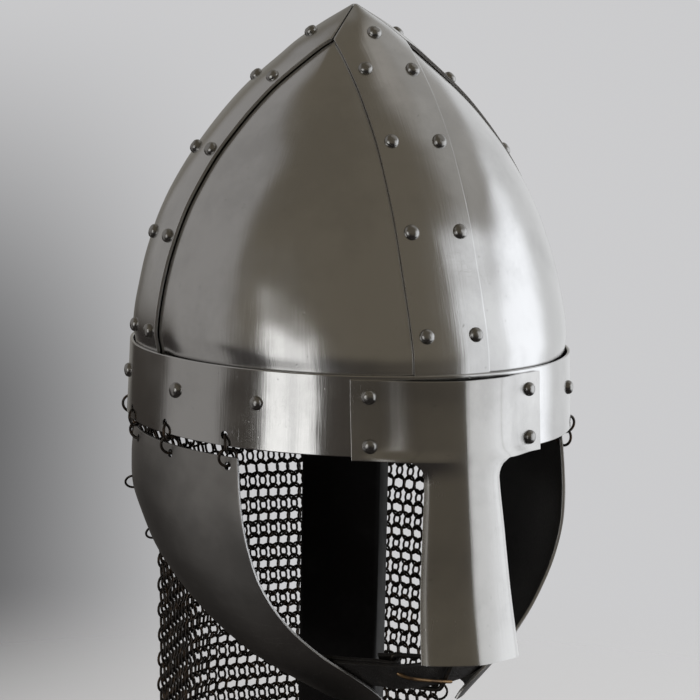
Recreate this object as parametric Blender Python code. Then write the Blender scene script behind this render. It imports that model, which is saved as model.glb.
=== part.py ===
"""Spangenhelm helmet with hanging cheek plates and a mail curtain, on a plain post stand.

Metres, +Z up. The helmet faces -Y, and the wearer's right is -X. The floor is z = 0.
Angles run round the helmet from its front: 0 is the nose, 90 the wearer's left, 180 the back.
"""
import math

import bmesh
import bpy
import numpy as np
from mathutils import Vector

# Clearance between pieces that touch
GAP = 0.0003

# Brow band
BROW_TOP_HEIGHT = 0.300
BROW_HALF_LENGTH = 0.1145
BROW_HALF_WIDTH = 0.1015
BROW_HEIGHT = 0.035
BROW_WALL = 0.0016
BROW_FLARE = 0.0012
BROW_SIDES = 60

# Dome: four plates under four crossing bands that are mitred into a point
DOME_HEIGHT = 0.1584
PLATE_WALL = 0.0014
BAND_WALL = 0.0014
BAND_WIDTH = 0.036
SKIRT = 0.012
PLATE_SEAM = 0.0008
DOME_PROFILE = [
    # height share, length share, width share
    (0.000, 1.000, 1.000),
    (0.057, 0.990, 1.015),
    (0.158, 0.943, 0.997),
    (0.278, 0.873, 0.957),
    (0.404, 0.796, 0.888),
    (0.530, 0.697, 0.784),
    (0.628, 0.607, 0.676),
    (0.751, 0.457, 0.509),
    (0.843, 0.323, 0.349),
    (0.896, 0.233, 0.254),
    (0.947, 0.135, 0.138),
    (1.000, 0.000, 0.000),
]
SIDE_BAND_TURN = 4.2
PLATE_TOP_SHARE = 0.985
BAND_TOP_SHARE = 0.993
DOME_LEVELS = 10
MITRE_LEVELS = 3
PLATE_COLUMNS = 4
BAND_HALF_COLUMNS = 2

# Rivets: domed heads in pairs up each band, one at its top, and singly round the brow
RIVET_RADIUS = 0.0033
RIVET_RISE = 0.0024
RIVET_SINK = 0.0007
RIVET_SIDES = 8
RIVET_SPACING = 0.0235
FRONT_RIVET_SHARES = (0.103, 0.376, 0.617, 0.813)
SIDE_RIVET_SHARES = (0.056, 0.329, 0.576, 0.785)
TOP_RIVET_SHARE = 0.915
BROW_RIVET_DROP = 0.0145
BROW_RIVET_ANGLES = (49.0, 74.0, 107.0, 131.0, 163.0)

# Nasal guard: a T of sheet whose arms lie on the brow band
TEE_WALL = 0.0016
TEE_HALF_SPAN = 0.0458
TEE_TOP_DROP = 0.0015
TEE_ARM_HEIGHT = 0.0345
NASAL_DROP = 0.1209
NASAL_KEEL = 0.0085
NASAL_LEAN = 0.0140
TEE_RIVET_ANGLE = 22.0
TEE_RIVET_DROPS = (0.0087, 0.0297)
NASAL_PROFILE = [
    # drop share, half-width in metres, keel rise share, lean share
    (0.0000, 0.0200, 0.76, 0.00),
    (0.0900, 0.0196, 0.80, 0.02),
    (0.2500, 0.0200, 0.90, 0.10),
    (0.2850, 0.0240, 0.92, 0.12),
    (0.3000, 0.0210, 0.93, 0.13),
    (0.3200, 0.0190, 0.94, 0.14),
    (0.3550, 0.0181, 0.95, 0.17),
    (0.5400, 0.0197, 1.00, 0.38),
    (0.7600, 0.0217, 1.10, 0.62),
    (0.9200, 0.0230, 1.30, 0.86),
    (1.0000, 0.0236, 1.40, 1.00),
]
NASAL_COLUMNS = 3
ARM_COLUMNS = 3

# Cheek plates, hung from the brow band by pairs of linked rings, and bowled in under the jaw
CHEEK_WALL = 0.0014
CHEEK_HEIGHT = 0.1126
CHEEK_PROFILE = [
    # drop share, reach share of the brow, forward share of its length, front angle, rear angle
    (0.000, 0.975, 0.000, 55.0, 108.0),
    (0.035, 0.981, 0.000, 54.6, 110.2),
    (0.130, 0.990, 0.004, 54.0, 111.5),
    (0.254, 0.990, 0.017, 53.3, 112.0),
    (0.356, 0.964, 0.050, 53.5, 113.3),
    (0.485, 0.914, 0.085, 52.9, 115.0),
    (0.600, 0.844, 0.128, 51.2, 115.4),
    (0.698, 0.768, 0.172, 48.0, 114.0),
    (0.790, 0.680, 0.220, 42.0, 111.0),
    (0.865, 0.590, 0.274, 34.5, 108.6),
    (0.920, 0.502, 0.336, 30.0, 105.5),
    (0.962, 0.420, 0.402, 28.2, 100.8),
    (1.000, 0.340, 0.472, 31.0, 93.0),
]
CHEEK_COLUMNS = 8
CHEEK_HOLE_DROP = 0.0040
CHEEK_SET_BACK = 0.0030

# Rings
HOLE_RADIUS = 0.0019
HOLE_SIDES = 8
HANG_HOLE_RISE = 0.0047
HANGER_ANGLES = (57.5, 78.0, 99.0)
HANGER_TWIST = 34.0
MAIL_HANGER_ANGLES = (119.0, 143.0, 168.0)
RING_RADIUS = 0.0040
RING_WIRE = 0.0013
RING_SIDES = 10
WIRE_SIDES = 5
LOOSE_RING_WIRE = 0.0011
LOOSE_RING_INSET = 0.0030
LOOSE_RING_SAG = 55.0
LOOSE_RING_SHARES = (0.23, 0.45, 0.55, 0.88)

# Mail curtain, from side to side round the back
MAIL_WALL = 0.0030
MAIL_DROP = 0.200
MAIL_PROFILE = [
    # drop share, reach share of the brow, angle of the free edge
    (0.000, 1.000, 113.5),
    (0.025, 0.988, 113.8),
    (0.080, 0.955, 114.5),
    (0.140, 0.920, 115.5),
    (0.200, 0.888, 116.5),
    (0.270, 0.868, 117.5),
    (0.600, 0.862, 118.0),
    (1.000, 0.868, 117.0),
]
MAIL_LEVELS = 8
MAIL_COLUMNS = 18
MAIL_FOLDS = 3.5
MAIL_FOLD_DEPTH = 0.0035

# Chin strap and its buckle, between the tips of the cheek plates
STRAP_WALL = 0.0020
STRAP_WIDTH = 0.0140
STRAP_SHARE = 0.871
STRAP_HOLD = 62.0
STRAP_TAIL = 24.0
STRAP_ROOM = 0.0014
BUCKLE_WIRE = 0.0011
BUCKLE_HINGE_ANGLE = -17.0
BUCKLE_OUTER_ANGLE = 8.0
BUCKLE_ROOM = 0.0010
PRONG_WIRE = 0.0008

# Post stand
POST_WIDTH = 0.037
POST_TURN = -31.7
BASE_RADIUS = 0.110
BASE_HEIGHT = 0.022
BLOCK_SHARES = (0.66, 0.70, 0.76)
BLOCK_ROOM = 0.0007
BASE_SIDES = 28
STAND_EDGE = 0.0025

# Derived sizes
DOME_HALF_LENGTH = BROW_HALF_LENGTH - BROW_WALL - GAP
DOME_HALF_WIDTH = BROW_HALF_WIDTH - BROW_WALL - GAP
PLATE_INSET = BAND_WALL + GAP
BLOCK_INSET = PLATE_INSET + PLATE_WALL + BLOCK_ROOM
HANG_HOLE_DROP = BROW_HEIGHT - HANG_HOLE_RISE
LINK_REACH = 4 * RING_RADIUS - RING_WIRE - GAP
CHEEK_TOP_DROP = HANG_HOLE_DROP + math.sqrt(LINK_REACH ** 2 - CHEEK_SET_BACK ** 2) - CHEEK_HOLE_DROP
MAIL_TOP_DROP = HANG_HOLE_DROP + 2 * RING_RADIUS + RING_WIRE / 2 + GAP
STRAP_DROP = CHEEK_TOP_DROP + STRAP_SHARE * CHEEK_HEIGHT

# Colour, metallic and roughness of each material
POLISHED_STEEL = ("polished_steel", (0.60, 0.59, 0.57), 1.0, 0.22)
SATIN_STEEL = ("satin_steel", (0.42, 0.42, 0.42), 1.0, 0.40)
DARK_MAIL = ("dark_mail", (0.05, 0.04, 0.035), 0.9, 0.50)
BLACK_LEATHER = ("black_leather", (0.02, 0.018, 0.016), 0.0, 0.60)
DARK_BUCKLE = ("dark_buckle", (0.08, 0.075, 0.07), 0.9, 0.45)
BROWN_PRONG = ("brown_prong", (0.30, 0.20, 0.11), 0.9, 0.45)
BLACK_WOOD = ("black_wood", (0.015, 0.014, 0.014), 0.0, 0.60)


def clear_scene():
    for old in list(bpy.data.objects):
        bpy.data.objects.remove(old, do_unlink=True)


def material(finish):
    name, colour, metallic, roughness = finish
    found = bpy.data.materials.get(name)
    if found:
        return found
    made = bpy.data.materials.new(name)
    made.use_nodes = True
    shader = made.node_tree.nodes["Principled BSDF"]
    shader.inputs["Base Color"].default_value = (*colour, 1.0)
    shader.inputs["Metallic"].default_value = metallic
    shader.inputs["Roughness"].default_value = roughness
    return made


def add_object(name, mesh, finish):
    made = bpy.data.objects.new(name, mesh)
    made.data.materials.append(material(finish))
    bpy.context.scene.collection.objects.link(made)
    return made


def finish_mesh(name, bm, finish, smooth_angle=35.0):
    bmesh.ops.triangulate(bm, faces=bm.faces)
    bmesh.ops.recalc_face_normals(bm, faces=bm.faces)
    mesh = bpy.data.meshes.new(name)
    bm.to_mesh(mesh)
    bm.free()
    mesh.shade_smooth()
    mesh.set_sharp_from_angle(angle=math.radians(smooth_angle))
    return add_object(name, mesh, finish)


def table(rows, column, share):
    """Read one column of a table at a share, along a smooth curve through its rows."""
    shares = [row[0] for row in rows]
    values = [row[column] for row in rows]
    share = min(max(share, shares[0]), shares[-1])
    k = int(min(max(np.searchsorted(shares, share) - 1, 0), len(rows) - 2))
    slopes = []
    for i in (k, k + 1):
        before = max(i - 1, 0)
        after = min(i + 1, len(rows) - 1)
        slopes.append((values[after] - values[before]) / (shares[after] - shares[before]))
    step = shares[k + 1] - shares[k]
    u = (share - shares[k]) / step
    start = (2 * u ** 3 - 3 * u ** 2 + 1) * values[k] + (u ** 3 - 2 * u ** 2 + u) * step * slopes[0]
    end = (3 * u ** 2 - 2 * u ** 3) * values[k + 1] + (u ** 3 - u ** 2) * step * slopes[1]
    return start + end


def oval(angle, half_length, half_width, height):
    turn = math.radians(angle)
    return Vector((half_width * math.sin(turn), -half_length * math.cos(turn), height))


def outward(place, angle, level, step=1e-4):
    """A point of an outer surface, which place(angle, level) gives, and its outward direction."""
    point = place(angle, level)
    around = place(angle + 0.1, level) - place(angle - 0.1, level)
    along = place(angle, level + step) - place(angle, level - step)
    out = around.cross(along).normalized()
    middle = (place(angle, level) + place(angle + 180, level)) / 2
    if out.dot(point - middle) < 0:
        out.negate()
    return point, out


def inward(place, angle, level, inset):
    """A point that lies inset inside an outer surface."""
    point, out = outward(place, angle, level)
    return point - out * inset


def sheet(name, rows, columns, place, finish, ring=False, keep=None, turned=None):
    """A wall of sheet: place(i, j, side) is a grid point on its outer (0) or inner (1) face."""
    bm = bmesh.new()
    points = {}
    last = columns if ring else columns + 1
    cells = [(i, j) for i in range(rows) for j in range(columns) if keep is None or keep(i, j)]

    def corner(i, j, side):
        key = (i, j % last, side)
        if key not in points:
            points[key] = bm.verts.new(place(i, j % last, side))
        return points[key]

    borders = {}
    for i, j in cells:
        loop = [(i, j), (i, j + 1), (i + 1, j + 1), (i + 1, j)]
        if turned and turned(i, j):
            loop = loop[1:] + loop[:1]
        bm.faces.new([corner(a, b, 0) for a, b in loop])
        bm.faces.new([corner(a, b, 1) for a, b in reversed(loop)])
        for k in range(4):
            ends = (loop[k], loop[(k + 1) % 4])
            key = frozenset((a, b % last) for a, b in ends)
            borders.setdefault(key, []).append(ends)
    for ends in borders.values():
        if len(ends) == 1:
            (a, b), (c, d) = ends[0]
            bm.faces.new((corner(c, d, 0), corner(a, b, 0), corner(a, b, 1), corner(c, d, 1)))
    return finish_mesh(name, bm, finish)


def stack(name, sections, finish, bevel=0.0):
    """A solid through closed sections from the bottom up, each a list of points, with flat ends."""
    bm = bmesh.new()
    rings = [[bm.verts.new(point) for point in section] for section in sections]
    for low, high in zip(rings, rings[1:]):
        for j in range(len(low)):
            k = (j + 1) % len(low)
            bm.faces.new((low[j], low[k], high[k], high[j]))
    bm.faces.new(list(reversed(rings[0])))
    bm.faces.new(rings[-1])
    if bevel:
        bmesh.ops.recalc_face_normals(bm, faces=bm.faces)
        sharp = [edge for edge in bm.edges if edge.calc_face_angle(0.0) > math.radians(50)]
        bmesh.ops.bevel(bm, geom=sharp, offset=bevel, segments=1, affect="EDGES", profile=0.5,
                        material=-1)
    return finish_mesh(name, bm, finish)


def tube(name, points, radius, finish, closed=False, sides_resolution=1):
    """A round wire through points."""
    curve = bpy.data.curves.new(name, "CURVE")
    curve.dimensions = "3D"
    curve.bevel_depth = radius
    curve.bevel_resolution = sides_resolution
    curve.use_fill_caps = not closed
    spline = curve.splines.new("POLY")
    spline.points.add(len(points) - 1)
    for slot, point in zip(spline.points, points):
        slot.co = (*point, 1.0)
    spline.use_cyclic_u = closed
    spline.use_smooth = True
    made = bpy.data.objects.new(name, curve)
    curve.materials.append(material(finish))
    bpy.context.scene.collection.objects.link(made)
    return made


def solid_copy(wire):
    """Turn a wire's curve into a closed mesh, for cutting with."""
    bm = bmesh.new()
    bm.from_mesh(bpy.data.meshes.new_from_object(wire))
    bmesh.ops.remove_doubles(bm, verts=bm.verts, dist=1e-6)
    name = wire.name
    bpy.data.objects.remove(wire, do_unlink=True)
    return finish_mesh(name, bm, DARK_BUCKLE)


def as_cutter(cutter):
    cutter.hide_render = True
    cutter.display_type = "WIRE"
    return cutter


def combine(target, operand, operation):
    change = target.modifiers.new(operation.lower(), "BOOLEAN")
    change.operation = operation
    change.solver = "EXACT"
    change.object = as_cutter(operand)


def add_pins(bm, spots, radius, low, high, sides):
    """Straight pins on spots, each a point and its outward direction, from low to high along it."""
    for point, out in spots:
        turn = Vector((0, 0, 1)).rotation_difference(out).to_matrix().to_4x4()
        turn.translation = point + out * (low + high) / 2
        bmesh.ops.create_cone(bm, cap_ends=True, segments=sides, radius1=radius, radius2=radius,
                              depth=high - low, matrix=turn)


def drill(target, spots, radius):
    bm = bmesh.new()
    add_pins(bm, spots, radius, -0.004, 0.004, HOLE_SIDES)
    combine(target, finish_mesh(target.name + "_drill", bm, DARK_MAIL), "DIFFERENCE")


def rivet_heads(target, spots):
    """Domed heads that stand on a wall and root in it."""
    levels = [(1.0, -RIVET_SINK), (0.88, 0.55 * RIVET_RISE)]
    bm = bmesh.new()
    for point, out in spots:
        turn = Vector((0, 0, 1)).rotation_difference(out).to_matrix()
        rings = []
        for reach, rise in levels:
            ring = []
            for k in range(RIVET_SIDES):
                a = 2 * math.pi * k / RIVET_SIDES
                local = Vector((math.cos(a), math.sin(a), 0)) * reach * RIVET_RADIUS
                ring.append(bm.verts.new(point + turn @ (local + Vector((0, 0, rise)))))
            rings.append(ring)
        top = bm.verts.new(point + out * RIVET_RISE)
        bm.faces.new(list(reversed(rings[0])))
        for low, high in zip(rings, rings[1:]):
            for k in range(RIVET_SIDES):
                n = (k + 1) % RIVET_SIDES
                bm.faces.new((low[k], low[n], high[n], high[k]))
        for k in range(RIVET_SIDES):
            bm.faces.new((rings[-1][k], rings[-1][(k + 1) % RIVET_SIDES], top))
    combine(target, finish_mesh(target.name + "_heads", bm, POLISHED_STEEL), "UNION")


# Surfaces, each a function of the angle and a level

def dome_surface(angle, share):
    """The dome's outside; the side bands, at 90 and 270, are turned a little off square."""
    angle -= SIDE_BAND_TURN * math.sin(math.radians(angle)) ** 2
    height = BROW_TOP_HEIGHT + share * DOME_HEIGHT
    return oval(angle, DOME_HALF_LENGTH * table(DOME_PROFILE, 1, share),
                DOME_HALF_WIDTH * table(DOME_PROFILE, 2, share), height)


def brow_surface(angle, drop):
    flare = BROW_FLARE * drop / BROW_HEIGHT
    return oval(angle, BROW_HALF_LENGTH + flare, BROW_HALF_WIDTH + flare, BROW_TOP_HEIGHT - drop)


def cheek_surface(angle, drop):
    share = (drop - CHEEK_TOP_DROP) / CHEEK_HEIGHT
    reach = table(CHEEK_PROFILE, 1, share)
    forward = BROW_HALF_LENGTH * table(CHEEK_PROFILE, 2, share)
    point = oval(angle, BROW_HALF_LENGTH * reach, BROW_HALF_WIDTH * reach, BROW_TOP_HEIGHT - drop)
    return point - Vector((0, forward, 0))


def mail_surface(angle, drop):
    share = (drop - MAIL_TOP_DROP) / MAIL_DROP
    reach = table(MAIL_PROFILE, 1, share)
    fold = MAIL_FOLD_DEPTH * min(max(share, 0.0), 1.0) * math.cos(math.radians(angle * 2 * MAIL_FOLDS))
    return oval(angle, BROW_HALF_LENGTH * reach + fold, BROW_HALF_WIDTH * reach + fold,
                BROW_TOP_HEIGHT - drop)


# Dome

def band_half_size(centre, share):
    """Half the dome's size across a band."""
    column, half = (1, DOME_HALF_LENGTH) if centre in (90, 270) else (2, DOME_HALF_WIDTH)
    return half * table(DOME_PROFILE, column, share)


def across_band(centre, offset, share):
    """The angle of a point that lies offset to one side of a band's centre line."""
    return centre + math.degrees(math.asin(offset / band_half_size(centre, share)))


def band_half_width(centre, share):
    """Half the band's width, which the mitre narrows to nothing at the top."""
    mitre = band_half_size(centre, share) * math.sin(math.radians(45)) - GAP
    return min(BAND_WIDTH / 2, mitre)


def mitre_share():
    """The height share at which the mitre of the bands begins."""
    shares = np.linspace(0.5, 1.0, 400)
    whole = [share for share in shares
             if min(band_half_width(0, share), band_half_width(90, share)) >= BAND_WIDTH / 2]
    return max(whole)


def dome_levels():
    """Height shares of the rows that the plates and the bands have in common."""
    top = PLATE_TOP_SHARE * mitre_share()
    return [-SKIRT / DOME_HEIGHT] + [top * k / DOME_LEVELS for k in range(DOME_LEVELS + 1)]


def make_plate(name, start):
    """One of the four dome plates: the quarter from the start angle on, under two bands."""
    levels = dome_levels()
    steps = BAND_HALF_COLUMNS
    columns = PLATE_COLUMNS + 2 * steps

    def angle_at(j, share):
        if j <= steps:
            offset = max(band_half_width(start, share) * j / steps, PLATE_SEAM)
            return across_band(start, offset, share)
        if j >= columns - steps:
            end = (start + 90) % 360
            offset = max(band_half_width(end, share) * (columns - j) / steps, PLATE_SEAM)
            return start + 90 + across_band(end, -offset, share) - end
        first = angle_at(steps, share)
        return first + (angle_at(columns - steps, share) - first) * (j - steps) / PLATE_COLUMNS

    def place(i, j, side):
        share = levels[i]
        return inward(dome_surface, angle_at(j, share), share, PLATE_INSET + side * PLATE_WALL)

    sheet(name, len(levels) - 1, columns, place, POLISHED_STEEL)


def make_band(name, centre):
    corner = mitre_share()
    levels = dome_levels() + [corner + (BAND_TOP_SHARE - corner) * k / MITRE_LEVELS
                              for k in range(MITRE_LEVELS + 1)]

    def place(i, j, side):
        share = levels[i]
        offset = band_half_width(centre, share) * (j / BAND_HALF_COLUMNS - 1)
        return inward(dome_surface, across_band(centre, offset, share), share, side * BAND_WALL)

    band = sheet(name, len(levels) - 1, 2 * BAND_HALF_COLUMNS, place, POLISHED_STEEL)
    shares = SIDE_RIVET_SHARES if centre in (90, 270) else FRONT_RIVET_SHARES
    spots = [(offset, share) for share in shares for offset in (-RIVET_SPACING / 2, RIVET_SPACING / 2)]
    spots.append((0.0, TOP_RIVET_SHARE))
    rivet_heads(band, [outward(dome_surface, across_band(centre, offset, share), share)
                       for offset, share in spots])


def make_dome():
    for name, start in (("plate_front_left", 0), ("plate_rear_left", 90),
                        ("plate_rear_right", 180), ("plate_front_right", 270)):
        make_plate(name, start)
    for name, centre in (("band_front", 0), ("band_left", 90), ("band_rear", 180), ("band_right", 270)):
        make_band(name, centre)


# Brow band

def make_brow():
    def place(i, j, side):
        return inward(brow_surface, 360 * j / BROW_SIDES, BROW_HEIGHT * (1 - i), side * BROW_WALL)

    brow = sheet("brow_band", 1, BROW_SIDES, place, POLISHED_STEEL, ring=True)
    angles = [side * a for a in HANGER_ANGLES + MAIL_HANGER_ANGLES for side in (1, -1)]
    drill(brow, [hole(brow_surface, a, HANG_HOLE_DROP, BROW_WALL) for a in angles], HOLE_RADIUS)
    rivet_heads(brow, [outward(brow_surface, side * a, BROW_RIVET_DROP)
                       for a in BROW_RIVET_ANGLES for side in (1, -1)])


def hole(place, angle, drop, wall):
    """The middle of a hole in a wall, and its outward direction."""
    point, out = outward(place, angle, drop)
    return point - out * wall / 2, out


# Nasal guard

def tee_levels():
    arm_end = TEE_ARM_HEIGHT / (NASAL_DROP - TEE_TOP_DROP)
    shares = [0.0, 0.33 * arm_end, 0.66 * arm_end, arm_end]
    shares += [row[0] for row in NASAL_PROFILE if row[0] > arm_end + 0.005]
    return shares, 3


def tee_point(across, drop):
    """A point of the guard's outer face: its arms lie on the brow, and its middle is a keel."""
    share = (drop - TEE_TOP_DROP) / (NASAL_DROP - TEE_TOP_DROP)
    half = table(NASAL_PROFILE, 1, share)
    rise = NASAL_KEEL * table(NASAL_PROFILE, 2, share)
    lean = NASAL_LEAN * table(NASAL_PROFILE, 3, share)
    stand_off = BROW_FLARE * min(drop / BROW_HEIGHT, 1.0) + GAP + TEE_WALL
    shell = -(BROW_HALF_LENGTH + stand_off) * math.sqrt(1 - (across / (BROW_HALF_WIDTH + stand_off)) ** 2)
    reach = abs(across) / half
    middle = max(0.0, 1 - 0.42 * reach) if reach < 1 else max(0.0, 0.58 * (1.5 - reach) / 0.5)
    return Vector((across, shell - rise * middle - lean, BROW_TOP_HEIGHT - drop))


def make_nasal():
    shares, arm_rows = tee_levels()
    most = NASAL_COLUMNS + ARM_COLUMNS

    def place(i, j, side):
        drop = TEE_TOP_DROP + shares[i] * (NASAL_DROP - TEE_TOP_DROP)
        half = table(NASAL_PROFILE, 1, shares[i])
        k = j - most
        across = half * min(abs(k) / NASAL_COLUMNS, 1.0)
        if abs(k) > NASAL_COLUMNS:
            across += (TEE_HALF_SPAN - half) * (abs(k) - NASAL_COLUMNS) / ARM_COLUMNS
        across = math.copysign(across, k)
        point = tee_point(across, drop)
        if side == 0:
            return point
        around = tee_point(across + 1e-4, drop) - tee_point(across - 1e-4, drop)
        down = tee_point(across, drop + 1e-4) - tee_point(across, drop - 1e-4)
        return point - down.cross(around).normalized() * TEE_WALL

    def keep(i, j):
        return i < arm_rows or ARM_COLUMNS <= j < ARM_COLUMNS + 2 * NASAL_COLUMNS

    def turned(i, j):
        return j < most

    nasal = sheet("nasal_guard", len(shares) - 1, 2 * most, place, POLISHED_STEEL, keep=keep,
                  turned=turned)
    across = (BROW_HALF_WIDTH + TEE_WALL) * math.sin(math.radians(TEE_RIVET_ANGLE))
    spots = []
    for drop in TEE_RIVET_DROPS:
        for side in (1, -1):
            out = outward(brow_surface, side * TEE_RIVET_ANGLE, drop)[1]
            spots.append((tee_point(side * across, drop), out))
    rivet_heads(nasal, spots)


# Rings

def make_ring(name, hold, level, wire, way=Vector((0, 0, -1))):
    """A ring held at a point, that reaches away from it one way, in a plane with a level direction."""
    flat = (level - way * level.dot(way)).normalized()
    across = flat.cross(way)
    centre = hold + way * RING_RADIUS
    bm = bmesh.new()
    rings = []
    for i in range(RING_SIDES):
        a = 2 * math.pi * i / RING_SIDES
        spoke = flat * math.sin(a) - way * math.cos(a)
        ring = []
        for k in range(WIRE_SIDES):
            b = 2 * math.pi * k / WIRE_SIDES
            ring.append(bm.verts.new(centre + spoke * (RING_RADIUS + wire / 2 * math.cos(b))
                                     + across * wire / 2 * math.sin(b)))
        rings.append(ring)
    for i in range(RING_SIDES):
        here = rings[i]
        there = rings[(i + 1) % RING_SIDES]
        for k in range(WIRE_SIDES):
            n = (k + 1) % WIRE_SIDES
            bm.faces.new((here[k], here[n], there[n], there[k]))
    finish_mesh(name, bm, DARK_MAIL, smooth_angle=80)


def twist(direction, angle):
    turn = math.radians(angle)
    return Vector((direction.x * math.cos(turn) - direction.y * math.sin(turn),
                   direction.x * math.sin(turn) + direction.y * math.cos(turn), 0))


def make_hangers():
    """Pairs of linked rings that carry the cheek plates, and single ones that carry the mail."""
    for word, side in (("left", 1), ("right", -1)):
        for number, angle in enumerate(HANGER_ANGLES, 1):
            high, out = hole(brow_surface, side * angle, HANG_HOLE_DROP, BROW_WALL)
            low = hole(cheek_surface, side * angle, CHEEK_TOP_DROP + CHEEK_HOLE_DROP, CHEEK_WALL)[0]
            down = (low - high).normalized()
            make_ring(f"hanger_upper_{word}_{number}", high, twist(out, HANGER_TWIST), RING_WIRE, down)
            make_ring(f"hanger_lower_{word}_{number}", low, twist(out, -HANGER_TWIST), RING_WIRE, -down)
        for number, angle in enumerate(MAIL_HANGER_ANGLES, 1):
            top, out = hole(brow_surface, side * angle, HANG_HOLE_DROP, BROW_WALL)
            make_ring(f"mail_hanger_{word}_{number}", top, out, RING_WIRE)


# Cheek plates

def loose_ring_spot(share, side):
    """A hole a little inside the rear edge of a cheek plate, its outward way and the way to that edge."""
    reach = BROW_HALF_LENGTH * table(CHEEK_PROFILE, 1, share)
    angle = side * (table(CHEEK_PROFILE, 4, share) - math.degrees(LOOSE_RING_INSET / reach))
    drop = CHEEK_TOP_DROP + share * CHEEK_HEIGHT
    point, out = hole(cheek_surface, angle, drop, CHEEK_WALL)
    rearward = (cheek_surface(angle + side, drop) - cheek_surface(angle, drop)).normalized()
    return point, out, rearward


def make_cheek(word, side):
    shares = [row[0] for row in CHEEK_PROFILE]

    def place(i, j, face):
        share = shares[i]
        front = table(CHEEK_PROFILE, 3, share)
        rear = table(CHEEK_PROFILE, 4, share)
        angle = front + (rear - front) * j / CHEEK_COLUMNS
        drop = CHEEK_TOP_DROP + share * CHEEK_HEIGHT
        point = inward(cheek_surface, angle, drop, face * CHEEK_WALL)
        return Vector((side * point.x, point.y, point.z))

    cheek = sheet(f"cheek_plate_{word}", len(shares) - 1, CHEEK_COLUMNS, place, SATIN_STEEL)
    top = CHEEK_TOP_DROP + CHEEK_HOLE_DROP
    spots = [hole(cheek_surface, side * a, top, CHEEK_WALL) for a in HANGER_ANGLES]
    rear = [loose_ring_spot(share, side) for share in LOOSE_RING_SHARES]
    drill(cheek, spots + [(point, out) for point, out, rearward in rear], HOLE_RADIUS)
    sag = math.radians(LOOSE_RING_SAG)
    for number, (point, out, rearward) in enumerate(rear, 1):
        way = rearward * math.cos(sag) - Vector((0, 0, math.sin(sag)))
        way = (way - out * way.dot(out)).normalized()
        make_ring(f"loose_ring_{word}_{number}", point, out, LOOSE_RING_WIRE, way)


# Mail curtain

def make_mail():
    def place(i, j, side):
        share = i / MAIL_LEVELS
        drop = MAIL_TOP_DROP + share * MAIL_DROP
        edge = table(MAIL_PROFILE, 2, share)
        angle = edge + (360 - 2 * edge) * j / MAIL_COLUMNS
        return inward(mail_surface, angle, drop, side * MAIL_WALL)

    sheet("mail_curtain", MAIL_LEVELS, MAIL_COLUMNS, place, DARK_MAIL)


# Chin strap and buckle

def strap_place(angle, depth, rise=0.0):
    """A point at a depth inside the cheek plates' surface, as it runs on round the chin."""
    point, out = outward(cheek_surface, angle, STRAP_DROP)
    up = (cheek_surface(angle, STRAP_DROP - 1e-4) - cheek_surface(angle, STRAP_DROP + 1e-4)).normalized()
    return point - out * depth + up * rise


def ribbon(name, route, finish):
    """A strap on edge along a route of (angle, depth) at its middle line."""
    middle = [strap_place(angle, depth) for angle, depth in route]
    upper = [strap_place(angle, depth, STRAP_WIDTH / 2) for angle, depth in route]

    def place(i, j, side):
        along = middle[min(j + 1, len(middle) - 1)] - middle[max(j - 1, 0)]
        up = upper[j] - middle[j]
        across = up.cross(along).normalized()
        return middle[j] + up * (1 - 2 * i) + across * STRAP_WALL * (0.5 - side)

    return sheet(name, 1, len(route) - 1, place, finish)


def strap_route(keys, step=3.0):
    """Add points between the key points (angle, depth) so that the strap bends smoothly."""
    route = []
    for start, end in zip(keys, keys[1:]):
        count = max(1, round(abs(end[0] - start[0]) / step))
        for k in range(count):
            u = k / count
            ease = u * u * (3 - 2 * u)
            route.append((start[0] + (end[0] - start[0]) * u, start[1] + (end[1] - start[1]) * ease))
    route.append(keys[-1])
    return route


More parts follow.
